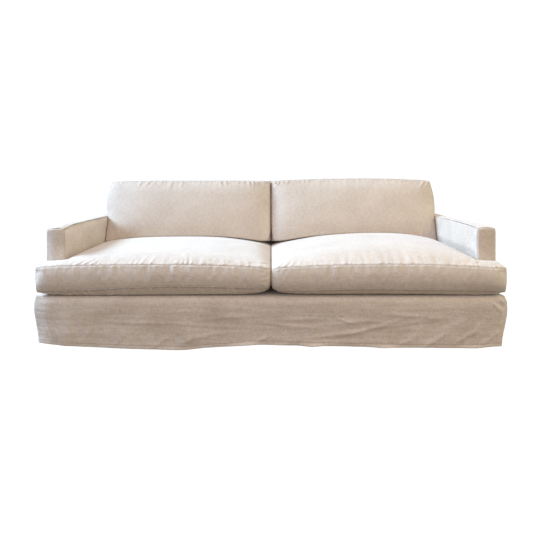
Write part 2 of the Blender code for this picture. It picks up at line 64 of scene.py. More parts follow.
# ---------------------------------------------------------------- camera
# The cover is seen from straight ahead at the eye height of someone standing a little stooped, with the
# camera held level.
EYE_AHEAD = 2.09
EYE_HEIGHT = 0.814
EYE_LENS = 30.8
EYE_SHIFT = (-1 / 540, -100 / 540)
SENSOR_WIDTH = 36

base_low, base_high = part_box("base_front")
FOLD_ROOM = 0.0012
FRONT = base_low.y + FOLD_ROOM  # the plain face of the base, under its folds
camera = bpy.data.objects.new("camera", bpy.data.cameras.new("camera"))
scene.collection.objects.link(camera)
camera.location = (0, FRONT - EYE_AHEAD, EYE_HEIGHT)
camera.rotation_euler = (math.radians(90), 0, 0)
camera.data.lens = EYE_LENS
camera.data.sensor_width = SENSOR_WIDTH
camera.data.shift_x, camera.data.shift_y = EYE_SHIFT
scene.camera = camera

# ---------------------------------------------------------------- base front
# The long front panel of the body cover: heavy washed linen that hangs from the front edge of the deck to
# a doubled hem. It is cut plain, with no pleats, and drags a little sideways over the sofa's rail.
CLOTH = 0.002
SAME_PLACE = 0.00005


def alone(piece):
    """Nothing is selected but this piece, and it is the active one."""
    bpy.ops.object.select_all(action="DESELECT")
    piece.select_set(True)
    bpy.context.view_layer.objects.active = piece


def copied(node, name):
    """A new piece with a merged copy of a node's mesh, in squares where the node's own faces were squares."""
    piece = bpy.data.objects.new(name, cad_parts[node].data.copy())
    piece.data.name = name
    piece.data.materials.clear()
    scene.collection.objects.link(piece)
    alone(piece)
    bpy.ops.object.mode_set(mode="EDIT")
    bpy.ops.mesh.select_all(action="SELECT")
    bpy.ops.mesh.customdata_custom_splitnormals_clear()
    bpy.ops.mesh.remove_doubles(threshold=SAME_PLACE)
    bpy.ops.mesh.tris_convert_to_quads(face_threshold=math.radians(30), shape_threshold=math.radians(50))
    bpy.ops.object.mode_set(mode="OBJECT")
    return piece


def apply(piece, kind, **settings):
    """Adds a modifier with these settings and applies it."""
    alone(piece)
    modifier = piece.modifiers.new(kind.lower(), kind)
    for key, value in settings.items():
        setattr(modifier, key, value)
    bpy.ops.object.modifier_apply(modifier=modifier.name)


def places(piece):
    """The places of a piece's points, one row each."""
    co = np.empty(len(piece.data.vertices) * 3, np.float32)
    piece.data.vertices.foreach_get("co", co)
    return co.reshape(-1, 3).astype(float)


def normals(piece):
    """The directions in which a piece's points face outwards."""
    out = np.empty(len(piece.data.vertices) * 3, np.float32)
    piece.data.vertices.foreach_get("normal", out)
    return out.reshape(-1, 3).astype(float)


def put(piece, co):
    """Moves a piece's points to these places."""
    piece.data.vertices.foreach_set("co", co.astype(np.float32).ravel())
    piece.data.update()


def pick(piece, kind, chosen):
    """Opens a piece in edit mode with only the chosen edges or faces selected."""
    alone(piece)
    bpy.ops.object.mode_set(mode="EDIT")
    bpy.ops.mesh.select_mode(type=kind)
    bpy.ops.mesh.select_all(action="DESELECT")
    bpy.ops.object.mode_set(mode="OBJECT")
    parts = piece.data.edges if kind == "EDGE" else piece.data.polygons
    parts.foreach_set("select", chosen)
    bpy.ops.object.mode_set(mode="EDIT")


def outer_face(node, name, facing, levels, slice_at=(0, 0, 0)):
    """The outer face of a panel, as a surface of fine squares. slice_at cuts long faces up first."""
    piece = copied(node, name)
    pick(piece, "FACE", [face.normal.dot(Vector(facing)) < 0.5 for face in piece.data.polygons])
    bpy.ops.mesh.delete(type="FACE")
    for axis, slice_width in enumerate(slice_at):
        if not slice_width:
            continue
        low, high = (corner[axis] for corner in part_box(node))
        direction = [float(axis == k) for k in range(3)]
        for i in range(1, math.ceil((high - low) / slice_width)):
            cut = [(low + i * slice_width) * d for d in direction]
            bpy.ops.mesh.select_all(action="SELECT")
            bpy.ops.mesh.bisect(plane_co=cut, plane_no=direction)
    bpy.ops.object.mode_set(mode="OBJECT")
    if levels:
        apply(piece, "SUBSURF", levels=levels, render_levels=levels, boundary_smooth="PRESERVE_CORNERS")
    return piece


def step(low, high, value):
    """0 below low, 1 above high, and a soft step between."""
    t = np.clip((value - low) / (high - low), 0, 1)
    return t * t * (3 - 2 * t)


def rumple(a, b, size_a, size_b, seed, octaves=3):
    """Soft uneven lift from -1 to 1, in patches of size_a by size_b."""
    spots = np.stack([a / size_a, b / size_b, np.full_like(a, seed)], axis=1)
    return np.array([noise.fractal(spot, 1.0, 2.0, octaves) for spot in spots])


Crease = namedtuple("Crease", "a b turn length width rise bow", defaults=[0.0])


def creases(rows, a, b):
    """Lift of single creases: centre, direction in degrees, half length, half width, rise and bow."""
    height = np.zeros_like(a)
    for line in rows:
        turn = math.radians(line.turn)
        run = ((a - line.a) * math.cos(turn) + (b - line.b) * math.sin(turn)) / line.length
        off = (b - line.b) * math.cos(turn) - (a - line.a) * math.sin(turn) - line.bow * run**2
        height += line.rise * np.exp(-(run**4)) * np.exp(-((off / line.width) ** 2))
    return height


def tree_of(points):
    """A search tree that finds the nearest of these points."""
    tree = KDTree(len(points))
    for i, point in enumerate(points):
        tree.insert(point, i)
    tree.balance()
    return tree


def border(piece):
    """Distance of every point to the nearest free edge of an open surface."""
    edges = {}
    for face in piece.data.polygons:
        for key in face.edge_keys:
            edges[key] = edges.get(key, 0) + 1
    free = [key for key, uses in edges.items() if uses == 1]
    co = places(piece)
    tree = tree_of([co[one] * (1 - t) + co[other] * t for one, other in free for t in (0, 0.33, 0.67)])
    return np.array([tree.find(point)[2] for point in co])


SEAM_ROLL = 0.0011  # the cloth stands up this much beside a seam, over its seam allowance
SEAM_AT = 0.006
SEAM_ROLL_WIDTH = 0.005


def seam_roll(piece):
    """Lift of the soft roll beside the seams round a panel."""
    near = border(piece)
    return SEAM_ROLL * np.exp(-(((near - SEAM_AT) / SEAM_ROLL_WIDTH) ** 2)) * step(0, SEAM_AT, near)


def lift(piece, height):
    """Moves every point outwards by its own height."""
    put(piece, places(piece) + normals(piece) * height[:, None])


PANEL_SHIFT = 3.1  # the threads of a cushion's panels and of its boxing don't start at the same place


def threads(piece, facing, shift):
    """UVs in metres that follow the threads: level threads along U, and upright or deep ones along V."""
    mesh = piece.data
    layer = mesh.uv_layers.new(name="threads")
    index = np.empty(len(mesh.loops), np.int32)
    mesh.loops.foreach_get("vertex_index", index)
    co = places(piece)[index]
    if facing is None:
        face_normals = np.array([face.normal for face in mesh.polygons])
        normal = np.repeat(face_normals, [face.loop_total for face in mesh.polygons], axis=0)
    else:
        normal = np.tile(np.array(facing, float), (len(co), 1))
    main = np.abs(normal).argmax(axis=1)
    u = np.where(main == 0, co[:, 1], co[:, 0])
    v = np.where(main == 2, co[:, 1], co[:, 2])
    uv = np.stack([u + shift, v + main * PANEL_SHIFT], axis=1).astype(np.float32)
    layer.data.foreach_set("uv", uv.ravel())


# Streaks of the threads and patches of the dye, as how many there are in a metre along U and along V.
WEFT = (42, 280, 1)
WARP = (310, 34, 1)
BROAD_YARN = (55, 130, 1)
DYE = (7, 9, 1)
FINE_SHARE = 0.75
YARN_CONTRAST = 5.0
YARN_PITCH = 0.0022
WEAVE_SHARE = 0.25
ROUGHEST = 0.93
ROUGH_DROP = 0.08
# Painted shade in the seams: the cloth's colour is darkened by up to this share toward the tint below.
SEAM_PAINTED_SHADE = 0.75  # how far the cloth darkens down in a seam
SEAM_PAINTED_TINT = (0.36, 0.29, 0.23, 1)


def linen_group():
    """Linen in metres of UV: slubby threads both ways, uneven dye, and a fine plain weave in the height."""
    group = bpy.data.node_groups.new("linen_weave", "ShaderNodeTree")
    face = group.interface
    face.new_socket("Place", in_out="INPUT", socket_type="NodeSocketVector")
    for name in ("Pale", "Dark"):
        face.new_socket(name, in_out="INPUT", socket_type="NodeSocketColor")
    for name, value in (("Slub", 0.5), ("Mottle", 0.5), ("Seam", 0.0)):
        face.new_socket(name, in_out="INPUT", socket_type="NodeSocketFloat").default_value = value
    face.new_socket("Color", in_out="OUTPUT", socket_type="NodeSocketColor")
    face.new_socket("Roughness", in_out="OUTPUT", socket_type="NodeSocketFloat")
    face.new_socket("Height", in_out="OUTPUT", socket_type="NodeSocketFloat")
    nodes, link = group.nodes, group.links.new
    given = nodes.new("NodeGroupInput")
    out = nodes.new("NodeGroupOutput")

    def math_node(kind, one, other, clamp=False):
        node = nodes.new("ShaderNodeMath")
        node.operation = kind
        node.use_clamp = clamp
        for socket, value in zip(node.inputs, (one, other)):
            if isinstance(value, (int, float)):
                socket.default_value = value
            else:
                link(value, socket)
        return node.outputs[0]

    def streaks(scale, detail=2.0):
        mapping = nodes.new("ShaderNodeMapping")
        mapping.inputs["Scale"].default_value = scale
        link(given.outputs["Place"], mapping.inputs["Vector"])
        cloud = nodes.new("ShaderNodeTexNoise")
        cloud.inputs["Scale"].default_value = 1.0
        cloud.inputs["Detail"].default_value = detail
        link(mapping.outputs[0], cloud.inputs["Vector"])
        return cloud.outputs["Fac"]

    weft = streaks(WEFT)
    warp = streaks(WARP)
    broad = math_node("MULTIPLY", streaks(BROAD_YARN), 1 - FINE_SHARE)
    patches = streaks(DYE, 4.0)
    yarn = math_node("ADD", math_node("MULTIPLY", weft, 0.5), math_node("MULTIPLY", warp, 0.5))
    yarn = math_node("ADD", math_node("MULTIPLY", yarn, FINE_SHARE), broad)
    yarn = math_node("MULTIPLY", math_node("SUBTRACT", yarn, 0.5), YARN_CONTRAST)
    spread = math_node("MULTIPLY", yarn, given.outputs["Slub"])
    dye = math_node("MULTIPLY", math_node("SUBTRACT", patches, 0.5), given.outputs["Mottle"])
    share = math_node("ADD", math_node("ADD", spread, math_node("MULTIPLY", dye, 2.0)), 0.5, clamp=True)
    tone = nodes.new("ShaderNodeMix")
    tone.data_type = "RGBA"
    link(share, tone.inputs["Factor"])
    link(given.outputs["Dark"], tone.inputs["A"])
    link(given.outputs["Pale"], tone.inputs["B"])
    # Painted shade: the Seam input darkens the colour toward the seam tint, as shade down in a seam.
    seam_shade_mix = nodes.new("ShaderNodeMix")
    seam_shade_mix.data_type = "RGBA"
    seam_shade_mix.blend_type = "MULTIPLY"
    link(math_node("MULTIPLY", given.outputs["Seam"], SEAM_PAINTED_SHADE), seam_shade_mix.inputs["Factor"])
    link(tone.outputs["Result"], seam_shade_mix.inputs["A"])
    seam_shade_mix.inputs["B"].default_value = SEAM_PAINTED_TINT
    link(seam_shade_mix.outputs["Result"], out.inputs["Color"])
    link(math_node("ADD", math_node("MULTIPLY", share, -ROUGH_DROP), ROUGHEST), out.inputs["Roughness"])
    split = nodes.new("ShaderNodeSeparateXYZ")
    link(given.outputs["Place"], split.inputs[0])
    turns = 2 * math.pi / YARN_PITCH
    picks = [math_node("SINE", math_node("MULTIPLY", split.outputs[k], turns), 0) for k in (0, 1)]
    plain = math_node("MULTIPLY", picks[0], picks[1])
    link(math_node("ADD", math_node("MULTIPLY", plain, WEAVE_SHARE), yarn), out.inputs["Height"])
    return group


LINEN_WEAVE = linen_group()
WEAVE_DEEP = 0.0004


def linen(name, pale, dark, slub=0.16, mottle=0.5):
    """One finish of linen, woven by the shared group."""
    material = bpy.data.materials.new(name)
    material.use_nodes = True
    nodes, link = material.node_tree.nodes, material.node_tree.links.new
    shader = nodes["Principled BSDF"]
    uv = nodes.new("ShaderNodeUVMap")
    uv.uv_map = "threads"
    weave = nodes.new("ShaderNodeGroup")
    weave.node_tree = LINEN_WEAVE
    for socket, value in (("Pale", (*pale, 1)), ("Dark", (*dark, 1)), ("Slub", slub), ("Mottle", mottle)):
        weave.inputs[socket].default_value = value
    bump = nodes.new("ShaderNodeBump")
    bump.inputs["Strength"].default_value = 0.5
    bump.inputs["Distance"].default_value = WEAVE_DEEP
    link(uv.outputs["UV"], weave.inputs["Place"])
    # The seam attribute carries the painted seam shade into the colour.
    seam = nodes.new("ShaderNodeAttribute")
    seam.attribute_name = "seam"
    link(seam.outputs["Fac"], weave.inputs["Seam"])
    link(weave.outputs["Color"], shader.inputs["Base Color"])
    link(weave.outputs["Roughness"], shader.inputs["Roughness"])
    link(weave.outputs["Height"], bump.inputs["Height"])
    link(bump.outputs["Normal"], shader.inputs["Normal"])
    shader.inputs["Sheen Weight"].default_value = 0.25
    shader.inputs["Sheen Roughness"].default_value = 0.5
    shader.inputs["Specular IOR Level"].default_value = 0.2
    return material


COVER_LINEN = linen("cover_linen", (0.70, 0.60, 0.505), (0.46, 0.365, 0.28), 0.5)


def paint_seam_shade(piece, mask):
    """Paints shade into the linen: how far each point lies down in a seam, from 0 to 1."""
    layer = piece.data.attributes.new("seam", "FLOAT", "POINT")
    layer.data.foreach_set("value", mask.astype(np.float32))


# How dark the painted shade is in the seams round a panel, hung or held flat, and along the line of its
# topstitching.
HUNG_PAINTED_SHADE = 0.45
FLAT_PAINTED_SHADE = 0.12
SEAM_LINE = 0.0028
STITCH_PAINTED_SHADE = 0.9
STITCH_LINE = 0.0020


def sewn(piece, node, facing, shift, held):
    """Gives a shaped surface its painted seam shade, thickness, threads and finish, puts it under the root
    body and hides its node.
    """
    dark = HUNG_PAINTED_SHADE if held == "hung" else FLAT_PAINTED_SHADE
    # Painted shade along the seams round the panel, and on a hung panel along the stitch line of its hem.
    shade = dark * np.exp(-((border(piece) / SEAM_LINE) ** 2))
    if held == "hung":
        over = above_hem(piece, 1 if facing[0] else 0)
        stitch_shade = STITCH_PAINTED_SHADE * np.exp(-(((over - HEM_DEEP) / STITCH_LINE) ** 2))
        shade = shade * step(0.03, 0.05, over) + stitch_shade
    paint_seam_shade(piece, shade)
    piece.data.shade_smooth()
    apply(piece, "SOLIDIFY", thickness=CLOTH, offset=-1.0, use_even_offset=False)
    threads(piece, facing, shift)
    piece.data.materials.append(COVER_LINEN)
    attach(piece, "root")
    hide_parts(node)


# Where the base drags: long low waves over its face, and short steep folds by the hem and the corners.
BASE_CREASES = [
    Crease(a=0.43, b=0.088, turn=14, length=0.17, width=0.010, bow=0.010, rise=0.0034),
    Crease(a=0.40, b=0.128, turn=3, length=0.10, width=0.008, bow=-0.006, rise=0.0026),
    Crease(a=0.30, b=0.070, turn=8, length=0.12, width=0.009, bow=-0.004, rise=0.0022),
    Crease(a=0.34, b=0.128, turn=-16, length=0.045, width=0.0045, bow=0.004, rise=0.0030),
    Crease(a=0.56, b=0.108, turn=6, length=0.12, width=0.010, bow=0.005, rise=0.0024),
    Crease(a=0.66, b=0.150, turn=-4, length=0.16, width=0.011, bow=0.006, rise=0.0022),
    Crease(a=-0.62, b=0.120, turn=-2, length=0.18, width=0.010, bow=0.006, rise=0.0020),
    Crease(a=-0.20, b=0.145, turn=4, length=0.16, width=0.010, bow=-0.006, rise=0.0020),
    Crease(a=-0.30, b=0.108, turn=-3, length=0.14, width=0.008, bow=0.004, rise=0.0018),
    Crease(a=0.12, b=0.104, turn=-5, length=0.14, width=0.009, bow=0.004, rise=0.0022),
    Crease(a=0.16, b=0.140, turn=2, length=0.10, width=0.008, bow=-0.004, rise=0.0020),
    Crease(a=0.75, b=0.045, turn=32, length=0.065, width=0.012, bow=0.004, rise=0.0046),
    Crease(a=0.88, b=0.056, turn=30, length=0.065, width=0.012, bow=-0.003, rise=0.0046),
    Crease(a=1.00, b=0.055, turn=38, length=0.055, width=0.010, bow=0.003, rise=0.0040),
    Crease(a=0.62, b=0.040, turn=24, length=0.060, width=0.011, bow=0.003, rise=0.0030),
    Crease(a=0.82, b=0.105, turn=22, length=0.070, width=0.010, bow=0.003, rise=0.0022),
    Crease(a=0.95, b=0.110, turn=44, length=0.050, width=0.010, bow=0.003, rise=0.0022),
    Crease(a=1.045, b=0.222, turn=-42, length=0.030, width=0.005, rise=0.0030),
    Crease(a=1.035, b=0.205, turn=-35, length=0.028, width=0.006, rise=-0.0024),
    Crease(a=1.025, b=0.190, turn=-48, length=0.030, width=0.006, rise=0.0022),
    Crease(a=-0.955, b=0.055, turn=-58, length=0.040, width=0.009, bow=0.002, rise=0.0032),
    Crease(a=-1.000, b=0.080, turn=-66, length=0.050, width=0.010, bow=0.002, rise=0.0028),
    Crease(a=-0.84, b=0.060, turn=52, length=0.050, width=0.010, bow=0.003, rise=0.0026),
    Crease(a=-0.68, b=0.050, turn=58, length=0.035, width=0.009, bow=0.003, rise=0.0022),
    Crease(a=-0.50, b=0.032, turn=35, length=0.045, width=0.009, bow=0.002, rise=0.0026),
    Crease(a=-0.38, b=0.040, turn=28, length=0.045, width=0.009, bow=0.002, rise=0.0022),
    Crease(a=-0.30, b=0.060, turn=12, length=0.090, width=0.009, bow=-0.003, rise=0.0018),
    Crease(a=-0.05, b=0.040, turn=25, length=0.050, width=0.009, bow=0.002, rise=0.0024),
    Crease(a=0.08, b=0.030, turn=16, length=0.060, width=0.010, bow=0.002, rise=0.0022),
]
Flip = namedtuple("Flip", "a length reach")
# Places where the hem flips out: centre, half length and reach.
HEM_FLIPS = [
    Flip(a=-0.12, length=0.060, reach=0.0090),
    Flip(a=0.19, length=0.040, reach=0.0120),
    Flip(a=0.52, length=0.060, reach=0.0100),
    Flip(a=-0.45, length=0.050, reach=0.0050),
    Flip(a=0.93, length=0.060, reach=0.0070),
]
HEM_DEEP = 0.015
HEM_STEP = 0.0014
HEM_GROOVE = 0.0006
HEM_WAVE = 0.0007
HEM_PACE = 0.012  # the lower edge is read once in this length


def above_hem(piece, axis):
    """Height of every point over the lower edge of its panel, read along an axis."""
    co = places(piece)
    low = {}
    for place, z in zip(np.round(co[:, axis] / HEM_PACE).astype(int), co[:, 2]):
        low[place] = min(low.get(place, 9.0), z)
    keys = np.array(sorted(low))
    return co[:, 2] - np.interp(co[:, axis] / HEM_PACE, keys, [low[key] for key in keys])


def hem(piece, axis, flips=()):
    """Lift of the doubled hem, drawn in along its stitch line, with places where its edge flips out."""
    over = above_hem(piece, axis)
    a = places(piece)[:, axis]
    out = HEM_STEP * (1 - step(HEM_DEEP - 0.002, HEM_DEEP + 0.003, over))
    out -= HEM_GROOVE * np.exp(-(((over - HEM_DEEP) / 0.0025) ** 2))
    out += HEM_WAVE * rumple(a, over, 0.03, 0.05, 7.0, 2) * (1 - step(0, 0.035, over))
    for flip in flips:
        out += flip.reach * np.exp(-(((a - flip.a) / flip.length) ** 2)) * (1 - step(0, 0.022, over)) ** 2
    return out


STITCH = (0.0014, 0.00045, 0.00035)  # half length, half width and half height of one topstitch
STITCH_PITCH = 0.0042
STITCH_END = 0.006  # the row stops this far from the panel's side seams


def topstitch(cloth, axis, facing, shift):
    """One row of topstitches along a doubled hem, each a small grain of thread lying on the cloth."""
    bpy.ops.object.select_all(action="DESELECT")
    bpy.ops.mesh.primitive_ico_sphere_add(subdivisions=1, radius=1)
    grain = bpy.context.object
    shape = places(grain)
    faces = np.array([face.vertices[:] for face in grain.data.polygons])
    bpy.data.meshes.remove(grain.data)
    co = places(cloth)
    over = above_hem(cloth, axis)
    edge = {}
    for place, z in zip(np.round(co[:, axis] / HEM_PACE).astype(int), co[:, 2] - over):
        edge[place] = z
    keys = np.array(sorted(edge))
    levels = [edge[key] for key in keys]
    cloth_faces = [face.vertices[:] for face in cloth.data.polygons]
    surface = BVHTree.FromPolygons([Vector(point) for point in co], cloth_faces)
    out = Vector(facing)
    corners, all_faces, last = [], [], None
    for along in np.arange(co[:, axis].min() + STITCH_END, co[:, axis].max() - STITCH_END, STITCH_PITCH):
        at = Vector((0, 0, 0))
        at[axis] = along
        at.z = np.interp(along / HEM_PACE, keys, levels) + HEM_DEEP
        hit, normal, _, _ = surface.ray_cast(at + out * 3, -out)
        if hit is None:
            continue
        if last is not None and (hit - last).length < 2 * STITCH_PITCH:
            run = (hit - last).normalized()
            side = normal.cross(run)
            turned = np.array([run * STITCH[0], side * STITCH[1], normal * STITCH[2]])
            all_faces.append(faces + len(shape) * len(corners))
            corners.append(shape @ turned + np.array(hit + normal * STITCH[2] * 0.5))
        last = hit
    mesh = bpy.data.meshes.new(f"{cloth.name}_stitches")
    mesh.from_pydata(np.concatenate(corners).tolist(), [], np.concatenate(all_faces).tolist())
    piece = bpy.data.objects.new(mesh.name, mesh)
    scene.collection.objects.link(piece)
    threads(piece, facing, shift)
    piece.data.materials.append(COVER_LINEN)
    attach(piece, "root")
    return piece


Pull = namedtuple("Pull", "start end reach move")


def soften(piece, pulls):
    """Draws hard corners and edges in towards what fills the cloth, most on the line from start to end."""
    co = places(piece)
    for pull in pulls:
        start, end = np.array(pull.start), np.array(pull.end)
        run = end - start
        t = np.clip((co - start) @ run / max(run @ run, 1e-12), 0, 1)
        off = np.linalg.norm(co - (start + t[:, None] * run), axis=1)
        co += np.clip(1 - off / pull.reach, 0, 1)[:, None] ** 2 * np.array(pull.move)
    put(piece, co)


# The front corners of the base hang in soft bends, the left one the wider, and its top edge rolls back.
BROW = base_high.z
BASE_CORNERS = [
    Pull((-1.072, -0.478, 0.00), (-1.072, -0.478, 0.24), 0.080, (-0.016, 0.026, 0)),
    Pull((1.074, -0.478, 0.00), (1.074, -0.478, 0.20), 0.050, (0.002, 0.012, 0)),
    Pull((-1.08, FRONT, BROW), (1.08, FRONT, BROW), 0.030, (0, 0.011, -0.005)),
]

base_front = outer_face("base_front", "base_front_cloth", (0, -1, 0), 3)
soften(base_front, BASE_CORNERS)
x, _, z = places(base_front).T
loose = 1 - step(0.10, 0.24, z)
height = creases(BASE_CREASES, x, z)
height += 0.0012 * rumple(x, z, 0.20, 0.020, 1.0) + 0.0016 * rumple(x, z, 0.045, 0.12, 2.0) * loose
height += seam_roll(base_front) * step(0.05, 0.10, z) + hem(base_front, 0, HEM_FLIPS)
lift(base_front, height)
base_stitches = topstitch(base_front, 0, (0, -1, 0), 0.5)
sewn(base_front, "base_front", (0, -1, 0), 0.0, "hung")

# ---------------------------------------------------------------- sides
# Each side panel is cut in one with the outside of its arm. Below the deck it hangs to the hem, and behind
# the ear of the seat it runs up to the arm's top band.
SIDE_CREASES = [
    Crease(a=-0.30, b=0.300, turn=-38, length=0.10, width=0.012, bow=0.006, rise=0.0022),
    Crease(a=0.20, b=0.350, turn=24, length=0.14, width=0.012, bow=-0.006, rise=0.0020),
    Crease(a=-0.02, b=0.180, turn=6, length=0.20, width=0.012, bow=0.008, rise=0.0018),
    Crease(a=0.34, b=0.090, turn=58, length=0.07, width=0.012, bow=0.003, rise=0.0026),
    Crease(a=-0.40, b=0.080, turn=64, length=0.06, width=0.011, bow=0.003, rise=0.0026),
    Crease(a=0.02, b=0.060, turn=74, length=0.05, width=0.012, bow=0.002, rise=0.0022),
]
# The arms' seams are rounded over EDGE_REACH, pinched over PINCH_REACH, and stand at these places.
EDGE_REACH = 0.024
EDGE_TUCK = 0.0022
PINCH_REACH = 0.0065
PINCH = 0.0022
ARM_OUTER = 1.065
ARM_INNER = 0.977
ARM_AHEAD = -0.376
ARM_REAR = (0.36, 0.30)  # where the outer and the inner top seam run out
TOP_TUCK = {"left": 0.0075, "right": 0.0025}
FRONT_TUCK = {"left": 0.011, "right": 0.003}


def seam_line(start, end, inward, reach=EDGE_REACH, tuck=EDGE_TUCK):
    """A sewn edge: rounded by what pads it, and pinched along the seam itself."""
    inward = np.array(inward, float)
    return [Pull(start, end, reach, inward * tuck), Pull(start, end, PINCH_REACH, inward * PINCH)]


def arm_edges(side, sign):
    """The five seams round the front of an arm. Those of the left arm are the softer ones."""
    low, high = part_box(f"arm_front_{side}")
    outer, inner = sign * ARM_OUTER, sign * ARM_INNER
    brow, foot = high.z, low.z + 0.01
    outer_brow, inner_brow = (outer, ARM_AHEAD, brow), (inner, ARM_AHEAD, brow)
    outer_rear, inner_rear = (outer, ARM_REAR[0], brow + 0.002), (inner, ARM_REAR[1], brow + 0.002)
    edges = seam_line(outer_brow, outer_rear, (-sign, 0, -1))
    edges += seam_line(inner_brow, inner_rear, (sign, 0, -1), 0.042, TOP_TUCK[side])
    edges += seam_line((outer, ARM_AHEAD, foot), outer_brow, (sign * 0.45, 1, 0), 0.040, FRONT_TUCK[side])
    edges += seam_line((inner, ARM_AHEAD, foot), inner_brow, (sign, 1, 0))
    edges += seam_line(outer_brow, inner_brow, (0, 1, -1))
    return edges


for side, sign, shift in (("left", -1, 11.0), ("right", 1, 17.0)):
    cloth = outer_face(f"side_{side}", f"side_{side}_cloth", (sign, 0, 0), 3)
    soften(cloth, arm_edges(side, sign) + BASE_CORNERS)
    _, y, z = places(cloth).T
    low = 1 - step(0.12, 0.28, z)
    height = creases(SIDE_CREASES, y * sign, z)
    height += 0.0012 * rumple(y, z, 0.10, 0.05, shift) + 0.0010 * rumple(y, z, 0.05, 0.14, shift + 1) * low
    height += seam_roll(cloth) * step(0.05, 0.10, z) + hem(cloth, 1)
    lift(cloth, height)
    stitches = topstitch(cloth, 1, (sign, 0, 0), shift + 0.5)
    sewn(cloth, f"side_{side}", (sign, 0, 0), shift, "hung")

# ---------------------------------------------------------------- back outside
# The back panel closes the cover behind: the full width up to the arms, then the width between them, with the
# same doubled hem.
BACK_CREASES = [
    Crease(a=-0.60, b=0.420, turn=-18, length=0.22, width=0.016, bow=0.010, rise=0.0022),
    Crease(a=0.30, b=0.560, turn=9, length=0.30, width=0.016, bow=-0.012, rise=0.0022),
    Crease(a=0.72, b=0.300, turn=28, length=0.20, width=0.016, bow=0.008, rise=0.0024),
    Crease(a=-0.20, b=0.250, turn=-6, length=0.28, width=0.015, bow=0.010, rise=0.0018),
    Crease(a=-0.86, b=0.120, turn=66, length=0.08, width=0.014, bow=0.004, rise=0.0028),
    Crease(a=0.10, b=0.090, turn=80, length=0.07, width=0.014, bow=0.003, rise=0.0024),
    Crease(a=0.55, b=0.080, turn=104, length=0.06, width=0.013, bow=0.003, rise=0.0026),
]
back_cloth = outer_face("back_outside", "back_outside_cloth", (0, 1, 0), 3)
x, _, z = places(back_cloth).T
low = 1 - step(0.12, 0.30, z)
height = creases(BACK_CREASES, x, z)
height += 0.0016 * rumple(x, z, 0.16, 0.08, 21.0) + 0.0012 * rumple(x, z, 0.06, 0.16, 22.0) * low
height += seam_roll(back_cloth) * step(0.05, 0.10, z) + hem(back_cloth, 0)
lift(back_cloth, height)
back_stitches = topstitch(back_cloth, 0, (0, 1, 0), 23.5)
sewn(back_cloth, "back_outside", (0, 1, 0), 23.0, "hung")

# ---------------------------------------------------------------- seat deck
# A flat T-shaped panel of the same linen, which lies on the sofa's seat under the cushions. It is sewn to the
# front, the sides and the arms, and its two ears reach in front of the arms.
deck = outer_face("seat_deck", "seat_deck_cloth", (0, 0, 1), 0, (0.045, 0.045, 0))
soften(deck, BASE_CORNERS)
sewn(deck, "seat_deck", (0, 0, 1), 29.0, "laid")

# ---------------------------------------------------------------- arms
# Each arm wears an upright front panel, a narrow top band and an inner face, sewn along plain seams that show
# as soft ridges. The cloth drags a little at the front corners and where the back cushion pushes.
ARM_TOP_CREASES = [
    Crease(a=-0.30, b=0.02, turn=20, length=0.06, width=0.010, bow=0.004, rise=0.0012),
    Crease(a=0.00, b=0.01, turn=-14, length=0.08, width=0.010, bow=0.004, rise=0.0012),
    Crease(a=0.25, b=0.00, turn=12, length=0.08, width=0.010, bow=0.004, rise=0.0012),
]
ARM_MIDDLE = 1.02
BESIDE_SEAT = {"left": 0.0, "right": 0.012}  # how far the inner face gives way to the seat cushion
for side, sign, shift in (("left", -1, 31.0), ("right", 1, 37.0)):
    edges = arm_edges(side, sign)
    front = outer_face(f"arm_front_{side}", f"arm_front_{side}_cloth", (0, -1, 0), 3)
    soften(front, edges)
    x, _, z = places(front).T
    lift(front, 0.0005 * rumple(x, z, 0.05, 0.05, shift) + seam_roll(front))
    sewn(front, f"arm_front_{side}", (0, -1, 0), shift, "stretched")
    top = outer_face(f"arm_top_{side}", f"arm_top_{side}_cloth", (0, 0, 1), 3)
    soften(top, edges)
    x, y, _ = places(top).T
    height = creases(ARM_TOP_CREASES, y, x - sign * ARM_MIDDLE) + 0.0010 * rumple(x, y, 0.04, 0.09, shift)
    lift(top, height + seam_roll(top))
    sewn(top, f"arm_top_{side}", (0, 0, 1), shift + 2, "laid")
    inside = outer_face(f"arm_inside_{side}", f"arm_inside_{side}_cloth", (-sign, 0, 0), 3)
    soften(inside, edges)
    _, y, z = places(inside).T
    free = step(0.42, 0.46, z)
    beside = (1 - step(0.392, 0.436, z)) * step(-0.374, -0.33, y) * (1 - step(0.10, 0.20, y))
    height = (0.0010 * rumple(y, z, 0.07, 0.05, shift) + seam_roll(inside)) * free
    lift(inside, height - BESIDE_SEAT[side] * beside)
    sewn(inside, f"arm_inside_{side}", (-sign, 0, 0), shift + 4, "stretched")

# ---------------------------------------------------------------- back
# The back's slanted inner face, hidden by the cushions, its narrow top band and the short end panels over the
# arms. They are plain linen panels, sewn edge to edge and drawn over the sofa's back.
inner = outer_face("back_inside", "back_inside_cloth", (0, -1, 0), 0, (0.06, 0, 0.06))
sewn(inner, "back_inside", (0, -1, 0), 41.0, "stretched")
band = outer_face("back_top", "back_top_cloth", (0, 0, 1), 1, (0.02, 0, 0))
x, y, _ = places(band).T
lift(band, 0.0012 * rumple(x, y, 0.10, 0.03, 43.0) + seam_roll(band))
sewn(band, "back_top", (0, 0, 1), 43.0, "laid")
for side, sign, shift in (("left", -1, 47.0), ("right", 1, 49.0)):
    end = outer_face(f"back_end_{side}", f"back_end_{side}_cloth", (sign, 0, 0), 1, (0, 0.02, 0.02))
    _, y, z = places(end).T
    lift(end, 0.0006 * rumple(y, z, 0.04, 0.05, shift) + seam_roll(end))
    sewn(end, f"back_end_{side}", (sign, 0, 0), shift, "stretched")

